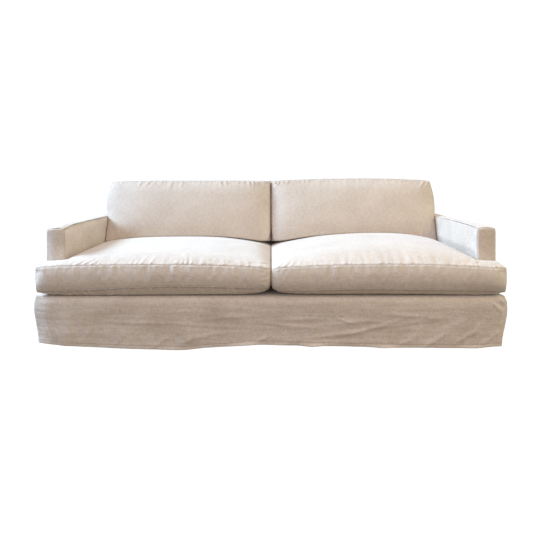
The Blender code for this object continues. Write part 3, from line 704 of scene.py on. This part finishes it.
# ---------------------------------------------------------------- cushions
# Four box cushions in the same linen: a face panel, a back panel and a boxing strip, sewn along plain seams
# and filled until the faces crown. The seams hold, so the cloth puckers beside them.
CUSHION_LINEN = linen("cushion_linen", (0.715, 0.62, 0.525), (0.475, 0.38, 0.295), 0.4, 0.3)
SEAM_ANGLE = 38
SEWN = 1.0
FOLDED = 0.3
MOSTLY = 0.6  # the share of its length from which an edge or a normal counts as along an axis
LONG_EDGE = 0.014
FACET_CUTS = 2
FINE_EDGE = 0.004
FINE_FRONT = 0.08  # a seat is cut finest this far back from its front, a back cushion this far down its top
FINE_TOP = 0.05
ROOM_SHARE = 0.45  # a cushion may take up this much of the room to its neighbours
SWELL_FRAMES = 20
SURELY_SEWN = 0.9


def mesh_edges(piece):
    """The two points of every edge."""
    edges = np.empty(len(piece.data.edges) * 2, np.int32)
    piece.data.edges.foreach_get("vertices", edges)
    return edges.reshape(-1, 2)


def edge_marks(piece):
    """How every edge is marked: 0, FOLDED or SEWN."""
    marks = np.zeros(len(piece.data.edges), np.float32)
    layer = piece.data.attributes.get("crease_edge")
    if layer:
        layer.data.foreach_get("value", marks)
    return marks


def seam_edges(piece):
    """The two points of every sewn edge."""
    return mesh_edges(piece)[edge_marks(piece) > SURELY_SEWN]


def mark_seams(piece, thick, foot_seam):
    """Marks the sewn edges and the folds of the boxing strip. A seat's lower seam lies up on its boxing."""
    alone(piece)
    bpy.ops.object.mode_set(mode="EDIT")
    bpy.ops.mesh.select_mode(type="EDGE")
    bpy.ops.mesh.select_all(action="DESELECT")
    bpy.ops.mesh.edges_select_sharp(sharpness=math.radians(SEAM_ANGLE))
    bpy.ops.object.mode_set(mode="OBJECT")
    sharp = np.zeros(len(piece.data.edges), bool)
    piece.data.edges.foreach_get("select", sharp)
    co = places(piece)
    ends = mesh_edges(piece)
    run = co[ends[:, 1]] - co[ends[:, 0]]
    across = np.abs(run[:, thick]) > MOSTLY * np.linalg.norm(run, axis=1)
    marks = np.where(sharp, np.where(across, FOLDED, SEWN), 0.0)
    if foot_seam:
        middle = (co[:, 2].min() + co[:, 2].max()) / 2
        sole = sharp & ~across & (co[ends, 2].max(axis=1) < middle)
        on_sole = np.zeros(len(co), bool)
        on_sole[ends[sole]] = True
        marks[sole] = FOLDED
        first_row = np.zeros(len(co), bool)
        rising = across & (on_sole[ends[:, 0]] != on_sole[ends[:, 1]])
        for one, other in ends[rising]:
            first_row[other if on_sole[one] else one] = True
        ahead = co[:, 1] < co[:, 1].min() + 0.02
        first_row &= np.abs(co[:, 2] - np.median(co[first_row & ahead, 2])) < 0.012
        marks[first_row[ends].all(axis=1)] = SEWN
        known = sorted(co[first_row & ahead][:, [0, 2]].tolist())
        level = np.interp(co[:, 0], *zip(*known))
        wanted = np.interp(co[:, 0], *zip(*foot_seam))
        still = middle + 0.01
        fade = np.where(first_row, 1.0, np.clip((still - co[:, 2]) / (still - level), 0, 1))
        fade[on_sole | (co[:, 2] < level - 0.006)] = 0
        co[:, 2] += (wanted - level) * fade
        put(piece, co)
    layer = piece.data.attributes.new("crease_edge", "FLOAT", "EDGE")
    layer.data.foreach_set("value", marks.astype(np.float32))


def free_room(node, co):
    """Distance of every point to the nearest face of any other node."""
    corners, faces = [], []
    for name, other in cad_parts.items():
        if name == node:
            continue
        start = len(corners)
        corners += [point.co.copy() for point in other.data.vertices]
        faces += [[start + i for i in face.vertices] for face in other.data.polygons]
    tree = BVHTree.FromPolygons(corners, faces)
    return np.array([tree.find_nearest(Vector(point))[3] for point in co])


def refine(piece, long_edge, cuts, near=None):
    """Cuts the long edges of a cushion, or only those near a set of points."""
    co = places(piece)
    edges = mesh_edges(piece)
    long = np.linalg.norm(co[edges[:, 0]] - co[edges[:, 1]], axis=1) > long_edge
    if near is not None:
        long &= near[edges].all(axis=1)
    pick(piece, "EDGE", long)
    bpy.ops.mesh.subdivide(number_cuts=cuts)
    bpy.ops.object.mode_set(mode="OBJECT")


def fill(piece, node, swell, shrink):
    """Lets the filling swell the cloth, which is held at the seams and kept off its neighbours."""
    start = places(piece)
    marked = mesh_edges(piece)[edge_marks(piece) > 0.1]
    held = piece.vertex_groups.new(name="held")
    held.add([int(i) for i in np.unique(marked)], 1.0, "REPLACE")
    alone(piece)
    swelling = piece.modifiers.new("cloth", "CLOTH")
    cloth = swelling.settings
    cloth.quality = 5
    cloth.mass = 0.3
    cloth.tension_stiffness = 20
    cloth.compression_stiffness = 20
    cloth.shear_stiffness = 5
    cloth.bending_stiffness = 0.3
    cloth.shrink_min = shrink
    cloth.use_pressure = True
    cloth.uniform_pressure_force = 4
    cloth.vertex_group_mass = "held"
    cloth.effector_weights.gravity = 0
    swelling.point_cache.frame_end = SWELL_FRAMES
    for frame_number in range(1, SWELL_FRAMES + 1):
        scene.frame_set(frame_number)
    bpy.ops.object.modifier_apply(modifier=swelling.name)
    scene.frame_set(1)
    move = places(piece) - start
    reach = np.maximum(np.linalg.norm(move, axis=1), 1e-9)
    cap = np.minimum(swell, ROOM_SHARE * free_room(node, start))
    put(piece, start + move * (cap * np.tanh(reach / np.maximum(cap, 1e-9)) / reach)[:, None])
    piece.vertex_groups.clear()


# How seat and back cushions are made: the axis they are thick along, how far the filling may swell them, the
# cut of the cloth, how far panels and boxing round out and over what width from the seam, where a seat starts
# to lie flat under the back cushion, the height under which a seam stands up as a ridge, how far back the
# listed puckers go, and the half width of the painted shade line in a seam.
Make = namedtuple(
    "Make", "thick swell shrink panel panel_half boxing boxing_half flat_from ridge_below ahead seam_line"
)
SEAT = Make(
    thick=2,
    swell=0.006,
    shrink=-0.010,
    panel=0.012,
    panel_half=0.11,
    boxing=0.007,
    boxing_half=0.048,
    flat_from=0.13,
    ridge_below=0.30,
    ahead=0.06,
    seam_line=0.0024,
)
BACK = Make(
    thick=1,
    swell=0.005,
    shrink=-0.003,
    panel=0.008,
    panel_half=0.09,
    boxing=0.006,
    boxing_half=0.045,
    flat_from=None,
    ridge_below=0.0,
    ahead=0.16,
    seam_line=0.0042,
)
END_CALM = 0.8  # the boxing at a cushion's two ends rounds out this much less
FLAT_RUN = 0.12


def puff(piece, node, line, make):
    """Rounds the faces out between their seams: a narrow band on the boxing, a wide one on the panels."""
    tree = tree_of(line)
    co, out = places(piece), normals(piece)
    found = [tree.find(point) for point in co]
    off = np.array([item[2] for item in found])
    seam_z = np.array([item[0].z for item in found])
    on_panel = np.abs(out[:, make.thick]) > MOSTLY
    full = np.where(on_panel, make.panel, make.boxing)
    half = np.where(on_panel, make.panel_half, make.boxing_half)
    rise = full * (1 - (1 - np.clip(off / half, 0, 1)) ** 2) * step(-0.85, -0.35, out[:, 2])
    rise *= 1 - END_CALM * step(0.3, 0.8, np.abs(out[:, 0]))
    if make is SEAT:
        middle = (co[:, 2].min() + co[:, 2].max()) / 2
        rise *= (seam_z > middle) | (co[:, 2] > seam_z)
        rise *= 1 - step(make.flat_from - FLAT_RUN, make.flat_from, co[:, 1]) * on_panel
    else:
        rise *= out[:, 1] < 0.5
    cap = np.maximum(ROOM_SHARE * free_room(node, co), 1e-9)
    lift(piece, cap * np.tanh(rise / cap))


SEAM_HALF = 0.0032  # a seam is a groove this wide to each side, this deep, or a ridge this proud
SEAM_DEEP = 0.0034
SEAM_PROUD = 0.0026


def sew(piece, ridge_below):
    """Sinks a thin groove along every seam, or lifts a ridge where the allowance is pressed outwards."""
    pick(piece, "EDGE", edge_marks(piece) > SURELY_SEWN)
    bpy.ops.mesh.bevel(offset=SEAM_HALF, segments=2, profile=0.5, affect="EDGES", clamp_overlap=True)
    bpy.ops.object.mode_set(mode="OBJECT")
    inside = np.ones(len(piece.data.vertices), bool)
    for face in piece.data.polygons:
        if not face.select:
            inside[list(face.vertices)] = False
    ridge = places(piece)[:, 2] < ridge_below
    lift(piece, np.where(inside, np.where(ridge, SEAM_PROUD, -SEAM_DEEP), 0.0))


Pucker = namedtuple("Pucker", "place x width reach lean rise")
SEAM_EASE = 0.0008  # the cloth stands up this much beside a seam, where it is eased in
EASE_AT = 0.009
EASE_WIDTH = 0.005
SLIGHT_RISE = 0.0012
SLIGHT_REACH = 0.018
# How dark the painted shade is in a cushion's seams, and the painted shadow line under a seat's foot seam.
CUSHION_PAINTED_SHADE = 0.7
FOOT_PAINTED_SHADE = 0.65
FOOT_SHADE_BELOW = 0.0050  # the foot seam's ridge shades the cloth this far under it
FOOT_SHADE_LINE = 0.0022


def gather(piece, line, puckers, marks, seed, make):
    """Puckers beside the seams: listed ones by the front seams, and slight ones all along."""
    tree = tree_of(line)
    co = places(piece)
    out = normals(piece)
    found = [tree.find(point) for point in co]
    off = np.array([item[2] for item in found])
    seam = np.array([tuple(item[0]) for item in found])
    rise = SEAM_EASE * np.exp(-(((off - EASE_AT) / EASE_WIDTH) ** 2))
    along = np.where(np.abs(out[:, 0]) > 0.7, seam[:, 1], seam[:, 0])
    small = rumple(along, seam[:, 2] + 0.3 * off, 0.011, 0.08, seed, 2)
    rise += SLIGHT_RISE * small * np.exp(-off / SLIGHT_REACH) * step(0.001, 0.006, off)
    ahead = seam[:, 1] < co[:, 1].min() + make.ahead
    brow = seam[:, 2] > (co[:, 2].min() + co[:, 2].max()) / 2
    over = co[:, 2] > seam[:, 2]
    facing = step(0.35, 0.75, -out[:, 1])
    zones = {
        "crown": ahead & brow & over,
        "brow": ahead & brow & ~over,
        "foot": ahead & ~brow & ~over,
    }
    for pucker in puckers:
        shift = (co[:, 0] - pucker.x - pucker.lean * off) / (pucker.width * (0.7 + 0.6 * off / pucker.reach))
        fade = np.exp(-((off / pucker.reach) ** 2)) * step(0.001, 0.007, off)
        shown = zones[pucker.place] * (facing if pucker.place == "brow" else 1)
        rise += pucker.rise * np.exp(-(shift**2)) * fade * shown
    rise += creases(marks, co[:, 0], co[:, 2]) * facing
    lift(piece, rise)
    # Painted shade down in the seams; on a seat, the foot seam gets instead a painted shadow line just under
    # its ridge.
    shade = CUSHION_PAINTED_SHADE * np.exp(-((off / make.seam_line) ** 2))
    if make is SEAT:
        below = seam[:, 2] - co[:, 2] - FOOT_SHADE_BELOW
        under = np.exp(-((below / FOOT_SHADE_LINE) ** 2)) * (off < 0.012)
        shade = np.where(brow, shade, FOOT_PAINTED_SHADE * under)
    paint_seam_shade(piece, shade)


def cushion(node, shift, make, pulls, puckers, marks, foot_seam=None):
    """One filled cushion in place of its node, shaped, swollen, sewn and puckered as its own tables say."""
    piece = copied(node, f"{node}_filled")
    mark_seams(piece, make.thick, foot_seam)
    soften(piece, pulls)
    apply(piece, "SUBSURF", levels=1, render_levels=1)
    refine(piece, LONG_EDGE, FACET_CUTS)
    fill(piece, node, make.swell, make.shrink)
    apply(piece, "SUBSURF", levels=1, render_levels=1)
    seams = seam_edges(piece)
    co = places(piece)
    line = np.concatenate([co[seams[:, 0]] * (1 - t) + co[seams[:, 1]] * t for t in (0, 0.25, 0.5, 0.75)])
    puff(piece, node, line, make)
    co = places(piece)
    if make is SEAT:
        fine = co[:, 1] < co[:, 1].min() + FINE_FRONT
    else:
        fine = co[:, 2] > co[:, 2].max() - FINE_TOP
    refine(piece, FINE_EDGE, 1, fine)
    sew(piece, make.ridge_below)
    gather(piece, line, puckers, marks, shift, make)
    piece.data.shade_smooth()
    threads(piece, None, shift)
    piece.data.materials.append(CUSHION_LINEN)
    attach(piece, "root")
    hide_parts(node)


def seat_pulls(node, side, sag):
    """Rounds the corners where two seats meet, and draws the boxing in between the pointed outer ones."""
    low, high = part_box(node)
    x, outer = side * 0.002, side * 1.070
    front, rear, foot, brow = low.y, high.y, low.z + 0.01, low.z + 0.143
    return [
        Pull((x, front, brow), (x, rear, brow), 0.035, (side * 0.001, 0, -0.006)),
        Pull((x, front, foot), (x, front, brow), 0.035, (side * 0.001, 0.009, 0)),
        Pull((x, front, brow), (x, front, brow), 0.045, (side * 0.006, 0.002, -0.009)),
        Pull((x, front, foot), (x, front, foot), 0.075, (side * 0.026, 0.004, 0.018)),
        Pull((x, rear, brow), (x, rear, brow), 0.060, (side * 0.016, -0.004, -0.014)),
        Pull((x, front + 0.005, foot), (outer, front + 0.005, foot), 0.044, (0, 0.022, -sag)),
        Pull((outer, front, foot - 0.04), (outer, front, brow - 0.03), 0.060, (0, 0.022, 0)),
    ]


def row(place, first, last, gap, width, reach, lean, rise, seed):
    """Small puckers in an uneven row from x = first to last, about a gap apart."""
    rng = np.random.default_rng(seed)
    out = []
    x = first
    while x < last:
        size = rng.uniform(0.35, 1.35)
        wide = width * rng.uniform(0.8, 1.2)
        slant = lean * rng.uniform(0, 2)
        out.append(Pucker(place, x, wide, reach * size, slant, rise * size))
        x += gap * rng.uniform(0.7, 1.4)
    return out


# Puckers over the front seam (crown), under it (brow) and by the foot seam (foot). Listed ones come
# first, and the rows of small ones follow, with first, last, gap, width, reach, lean, rise and seed.
LEFT_PUCKERS = [
    Pucker("crown", x=-0.880, width=0.009, reach=0.05, lean=0.7, rise=0.0026),
    Pucker("crown", x=-0.850, width=0.009, reach=0.06, lean=0.8, rise=0.0028),
    Pucker("crown", x=-0.815, width=0.009, reach=0.05, lean=0.7, rise=0.0024),
    Pucker("crown", x=-0.585, width=0.008, reach=0.04, lean=0.2, rise=0.0026),
    Pucker("crown", x=-0.545, width=0.008, reach=0.04, lean=0.2, rise=0.0026),
    Pucker("crown", x=-0.4275, width=0.0080, reach=0.045, lean=0.1, rise=0.0042),
    Pucker("crown", x=-0.4050, width=0.0080, reach=0.055, lean=0.0, rise=0.0046),
    Pucker("crown", x=-0.3825, width=0.0080, reach=0.055, lean=-0.1, rise=0.0044),
    Pucker("crown", x=-0.3600, width=0.0080, reach=0.045, lean=-0.1, rise=0.0036),
    Pucker("crown", x=-0.310, width=0.008, reach=0.04, lean=0.0, rise=0.0034),
    Pucker("crown", x=-0.280, width=0.008, reach=0.04, lean=-0.1, rise=0.0034),
    Pucker("crown", x=-0.213, width=0.007, reach=0.04, lean=-0.2, rise=0.0032),
    Pucker("crown", x=-0.135, width=0.008, reach=0.04, lean=-0.3, rise=0.0032),
    Pucker("crown", x=-0.100, width=0.008, reach=0.04, lean=-0.3, rise=0.0032),
    Pucker("brow", x=-0.4365, width=0.014, reach=0.055, lean=0.0, rise=0.0042),
    Pucker("brow", x=-0.3645, width=0.014, reach=0.050, lean=0.0, rise=0.0042),
    Pucker("brow", x=-0.5200, width=0.014, reach=0.040, lean=0.2, rise=0.0024),
    Pucker("brow", x=-0.2400, width=0.014, reach=0.040, lean=-0.2, rise=0.0024),
]
LEFT_PUCKERS += row("crown", -1.03, -0.02, 0.022, 0.0065, 0.034, 0.2, 0.0015, 1)
LEFT_PUCKERS += row("brow", -1.05, -0.03, 0.026, 0.0080, 0.018, 0.1, 0.0014, 2)
LEFT_PUCKERS += row("foot", -1.03, -0.55, 0.017, 0.0055, 0.030, 0.3, 0.0046, 3)
LEFT_PUCKERS += row("foot", -0.55, -0.05, 0.028, 0.0070, 0.028, 0.2, 0.0030, 4)
# Pinches at the corners of the boxing.
LEFT_MARKS = [
    Crease(a=-1.036, b=0.368, turn=-50, length=0.020, width=0.005, rise=0.0016),
    Crease(a=-1.022, b=0.370, turn=-66, length=0.016, width=0.004, rise=0.0014),
    Crease(a=-0.026, b=0.322, turn=14, length=0.016, width=0.0045, rise=0.0018),
    Crease(a=-0.030, b=0.345, turn=32, length=0.018, width=0.0045, rise=0.0016),
    Crease(a=-0.036, b=0.300, turn=-8, length=0.014, width=0.0045, rise=0.0018),
]
RIGHT_PUCKERS = [
    Pucker("crown", x=0.030, width=0.008, reach=0.04, lean=0.5, rise=0.0034),
    Pucker("crown", x=0.060, width=0.008, reach=0.05, lean=0.5, rise=0.0036),
    Pucker("crown", x=0.090, width=0.008, reach=0.05, lean=0.4, rise=0.0034),
    Pucker("crown", x=0.125, width=0.008, reach=0.04, lean=0.3, rise=0.0026),
    Pucker("crown", x=0.335, width=0.008, reach=0.04, lean=0.1, rise=0.0022),
    Pucker("crown", x=0.360, width=0.008, reach=0.04, lean=0.1, rise=0.0022),
    Pucker("crown", x=0.500, width=0.008, reach=0.04, lean=0.0, rise=0.0018),
    Pucker("crown", x=0.640, width=0.010, reach=0.03, lean=-0.2, rise=0.0020),
    Pucker("crown", x=0.800, width=0.010, reach=0.04, lean=-0.4, rise=0.0022),
    Pucker("crown", x=1.020, width=0.008, reach=0.05, lean=-0.5, rise=0.0040),
    Pucker("brow", x=0.300, width=0.020, reach=0.060, lean=0.0, rise=0.0026),
    Pucker("brow", x=0.560, width=0.022, reach=0.060, lean=0.1, rise=0.0026),
    Pucker("brow", x=0.700, width=0.020, reach=0.050, lean=0.0, rise=0.0022),
]
RIGHT_PUCKERS += row("crown", 0.02, 1.03, 0.026, 0.0065, 0.032, -0.2, 0.0008, 5)
RIGHT_PUCKERS += row("brow", 0.03, 1.05, 0.034, 0.0080, 0.018, -0.1, 0.0012, 6)
RIGHT_PUCKERS += row("foot", 0.05, 1.03, 0.030, 0.0070, 0.028, -0.2, 0.0026, 7)
RIGHT_MARKS = [
    Crease(a=1.034, b=0.368, turn=48, length=0.022, width=0.005, rise=0.0020),
    Crease(a=1.020, b=0.372, turn=64, length=0.016, width=0.004, rise=0.0016),
    Crease(a=0.026, b=0.350, turn=-30, length=0.016, width=0.0045, rise=0.0006),
    Crease(a=0.024, b=0.330, turn=-8, length=0.014, width=0.0045, rise=0.0006),
    Crease(a=0.028, b=0.305, turn=12, length=0.016, width=0.0045, rise=0.0006),
    Crease(a=0.470, b=0.345, turn=4, length=0.090, width=0.018, rise=0.0016),
]
# Height of the lower seam along each seat, as (x, z).
LEFT_FOOT_SEAM = [
    (-1.07, 0.266),
    (-1.0, 0.268),
    (-0.86, 0.272),
    (-0.63, 0.285),
    (-0.40, 0.2905),
    (-0.31, 0.2885),
    (-0.13, 0.2845),
    (-0.05, 0.279),
    (0.0, 0.272),
]
RIGHT_FOOT_SEAM = [
    (0.0, 0.266),
    (0.14, 0.271),
    (0.32, 0.2755),
    (0.46, 0.278),
    (0.68, 0.274),
    (0.91, 0.273),
    (1.07, 0.267),
]
left_pulls = seat_pulls("seat_cushion_left", -1, sag=0.005)
right_pulls = seat_pulls("seat_cushion_right", 1, sag=0.003)
cushion("seat_cushion_left", 51.0, SEAT, left_pulls, LEFT_PUCKERS, LEFT_MARKS, LEFT_FOOT_SEAM)
cushion("seat_cushion_right", 53.0, SEAT, right_pulls, RIGHT_PUCKERS, RIGHT_MARKS, RIGHT_FOOT_SEAM)


def back_pulls(node, side, outer_foot, outer_reach, outer_back, flare, bulge):
    """Rounds the corners where two backs meet, sets the outer end back, and bulges it over the arm."""
    low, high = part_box(node)
    x, outer = side * 0.002, side * 0.977
    foot, head = low.z, high.z - 0.012
    inwards = (side * 0.002, outer_back, 0)
    return [
        Pull((x, low.y, foot), (x, low.y + 0.1, head), 0.085, (side * 0.004, 0.016, 0)),
        Pull((x, low.y, foot), (x, low.y, foot), 0.075, (side * 0.017, 0.006, 0.017)),
        Pull((outer, low.y, outer_foot), (outer, low.y + 0.1, head), outer_reach, inwards),
        Pull((outer, low.y + 0.06, 0.69), (outer, low.y + 0.1, head), 0.10, (side * flare, 0, 0)),
        Pull((outer, low.y + 0.08, 0.60), (outer, low.y + 0.09, 0.66), 0.10, (side * bulge, 0, 0)),
    ]


LEFT_BACK_PUCKERS = [
    Pucker("brow", x=-0.78, width=0.008, reach=0.05, lean=-0.5, rise=0.0022),
    Pucker("brow", x=-0.74, width=0.008, reach=0.05, lean=-0.5, rise=0.0020),
    Pucker("brow", x=-0.70, width=0.008, reach=0.04, lean=-0.4, rise=0.0018),
    Pucker("brow", x=-0.595, width=0.009, reach=0.06, lean=-0.3, rise=0.0026),
    Pucker("brow", x=-0.535, width=0.008, reach=0.05, lean=-0.2, rise=0.0022),
    Pucker("brow", x=-0.945, width=0.007, reach=0.04, lean=0.6, rise=0.0034),
]
LEFT_BACK_PUCKERS += row("brow", -0.95, -0.31, 0.030, 0.0070, 0.020, -0.2, 0.0020, 8)
LEFT_BACK_PUCKERS += row("brow", -0.31, -0.03, 0.024, 0.0075, 0.026, 0.2, 0.0058, 9)
RIGHT_BACK_PUCKERS = [
    Pucker("brow", x=0.30, width=0.010, reach=0.04, lean=-0.2, rise=0.0020),
    Pucker("brow", x=0.46, width=0.010, reach=0.04, lean=-0.2, rise=0.0020),
    Pucker("brow", x=0.70, width=0.010, reach=0.04, lean=0.2, rise=0.0020),
    Pucker("brow", x=0.930, width=0.007, reach=0.05, lean=-0.6, rise=0.0040),
    Pucker("brow", x=0.955, width=0.006, reach=0.04, lean=-0.5, rise=0.0034),
]
RIGHT_BACK_PUCKERS += row("brow", 0.03, 0.23, 0.024, 0.0070, 0.024, -0.2, 0.0050, 10)
RIGHT_BACK_PUCKERS += row("brow", 0.23, 0.95, 0.034, 0.0070, 0.018, -0.1, 0.0016, 11)
LEFT_BACK_MARKS = [
    Crease(a=-0.030, b=0.415, turn=38, length=0.018, width=0.005, rise=0.0024),
    Crease(a=-0.045, b=0.405, turn=60, length=0.018, width=0.005, rise=0.0020),
    Crease(a=-0.035, b=0.715, turn=-40, length=0.022, width=0.005, rise=0.0024),
]
RIGHT_BACK_MARKS = [
    Crease(a=0.950, b=0.622, turn=-38, length=0.020, width=0.005, rise=0.0026),
    Crease(a=0.885, b=0.443, turn=70, length=0.018, width=0.005, rise=0.0022),
    Crease(a=0.030, b=0.415, turn=-38, length=0.018, width=0.005, rise=0.0024),
    Crease(a=0.030, b=0.720, turn=42, length=0.022, width=0.005, rise=0.0022),
]
left_pulls = back_pulls(
    "back_cushion_left", -1, outer_foot=0.55, outer_reach=0.19, outer_back=0.036, flare=0.022, bulge=0.021
)
right_pulls = back_pulls(
    "back_cushion_right", 1, outer_foot=0.39, outer_reach=0.07, outer_back=0.006, flare=0.008, bulge=0.006
)
cushion("back_cushion_left", 57.0, BACK, left_pulls, LEFT_BACK_PUCKERS, LEFT_BACK_MARKS)
cushion("back_cushion_right", 59.0, BACK, right_pulls, RIGHT_BACK_PUCKERS, RIGHT_BACK_MARKS)

# ---------------------------------------------------------------- floor and light
# A pale studio: the floor lies where the sofa's feet stand, daylight comes from a high window on the left,
# and the room fills in softly from all round.
FLOOR_BELOW = 0.080
FLOOR_SIZE = 60
FLOOR_GREY = (0.08, 0.08, 0.08, 1)
FLOOR_GLOW = (1.0, 0.56, 0.05)
FLOOR_STRENGTH = 0.167
ROOM_TINT = (0.904, 0.941, 1.0)
ROOM_STRENGTH = 0.939
STUDIO_WHITE = 1.02


def seen_and_felt(tree, shader_kind, felt_colour, felt_strength):
    """White where it is looked at, with its own softer light for everything it shines on."""
    link = tree.links.new
    path = tree.nodes.new("ShaderNodeLightPath")
    seen = tree.nodes.new(shader_kind)
    seen.inputs["Strength"].default_value = STUDIO_WHITE
    seen.inputs["Color"].default_value = (1, 1, 1, 1)
    felt = tree.nodes.new(shader_kind)
    felt.inputs["Strength"].default_value = felt_strength
    felt.inputs["Color"].default_value = (*felt_colour, 1)
    mix = tree.nodes.new("ShaderNodeMixShader")
    link(path.outputs["Is Camera Ray"], mix.inputs[0])
    link(felt.outputs[0], mix.inputs[1])
    link(seen.outputs[0], mix.inputs[2])
    return mix


bpy.ops.mesh.primitive_plane_add(size=FLOOR_SIZE, location=(0, 0, 0))
floor = bpy.context.object
floor.name = "floor"
floor.data.transform(Matrix.Translation((0, 0, cad_box[0].z - FLOOR_BELOW)))
pale = bpy.data.materials.new("pale_floor")
pale.use_nodes = True
matt = pale.node_tree.nodes["Principled BSDF"]
matt.inputs["Base Color"].default_value = FLOOR_GREY
matt.inputs["Roughness"].default_value = 1.0
matt.inputs["Specular IOR Level"].default_value = 0.0
glow = seen_and_felt(pale.node_tree, "ShaderNodeEmission", FLOOR_GLOW, FLOOR_STRENGTH)
both = pale.node_tree.nodes.new("ShaderNodeAddShader")
pale.node_tree.links.new(matt.outputs[0], both.inputs[0])
pale.node_tree.links.new(glow.outputs[0], both.inputs[1])
pale.node_tree.links.new(both.outputs[0], pale.node_tree.nodes["Material Output"].inputs["Surface"])
floor.data.materials.append(pale)


def area_light(name, place, aim, size, power, colour):
    """A round soft light that looks from its place at its aim."""
    lamp = bpy.data.objects.new(name, bpy.data.lights.new(name, "AREA"))
    scene.collection.objects.link(lamp)
    lamp.location = place
    lamp.rotation_euler = (Vector(aim) - Vector(place)).to_track_quat("-Z", "Y").to_euler()
    lamp.data.shape = "DISK"
    lamp.data.size = size
    lamp.data.energy = power
    lamp.data.color = colour


area_light("window", (-9.0, 0.8, 5.5), (0, 0, 0.3), size=3.0, power=2080, colour=(0.470, 0.701, 0.965))
area_light("door", (-5.0, -1.3, 2.3), (0, 0, 0.3), size=1.5, power=98, colour=(0.38, 0.579, 1.0))
area_light("lamp", (5.5, -1.4, 1.8), (0, 0, 0.3), size=2.0, power=52, colour=(0.606, 1.0, 0.852))
area_light("ceiling", (2.6, -1.7, 2.8), (0.4, -0.4, 0.3), size=1.2, power=25, colour=(1.0, 0.569, 0.02))
area_light("front", (0.3, -2.5, 2.9), (0, -0.3, 0.3), size=1.2, power=8.6, colour=(1.0, 0.428, 0.452))
world = bpy.data.worlds.new("room")
world.use_nodes = True
scene.world = world
room = seen_and_felt(world.node_tree, "ShaderNodeBackground", ROOM_TINT, ROOM_STRENGTH)
world.node_tree.links.new(room.outputs[0], world.node_tree.nodes["World Output"].inputs["Surface"])
scene.view_settings.view_transform = "Standard"
scene.view_settings.look = "None"
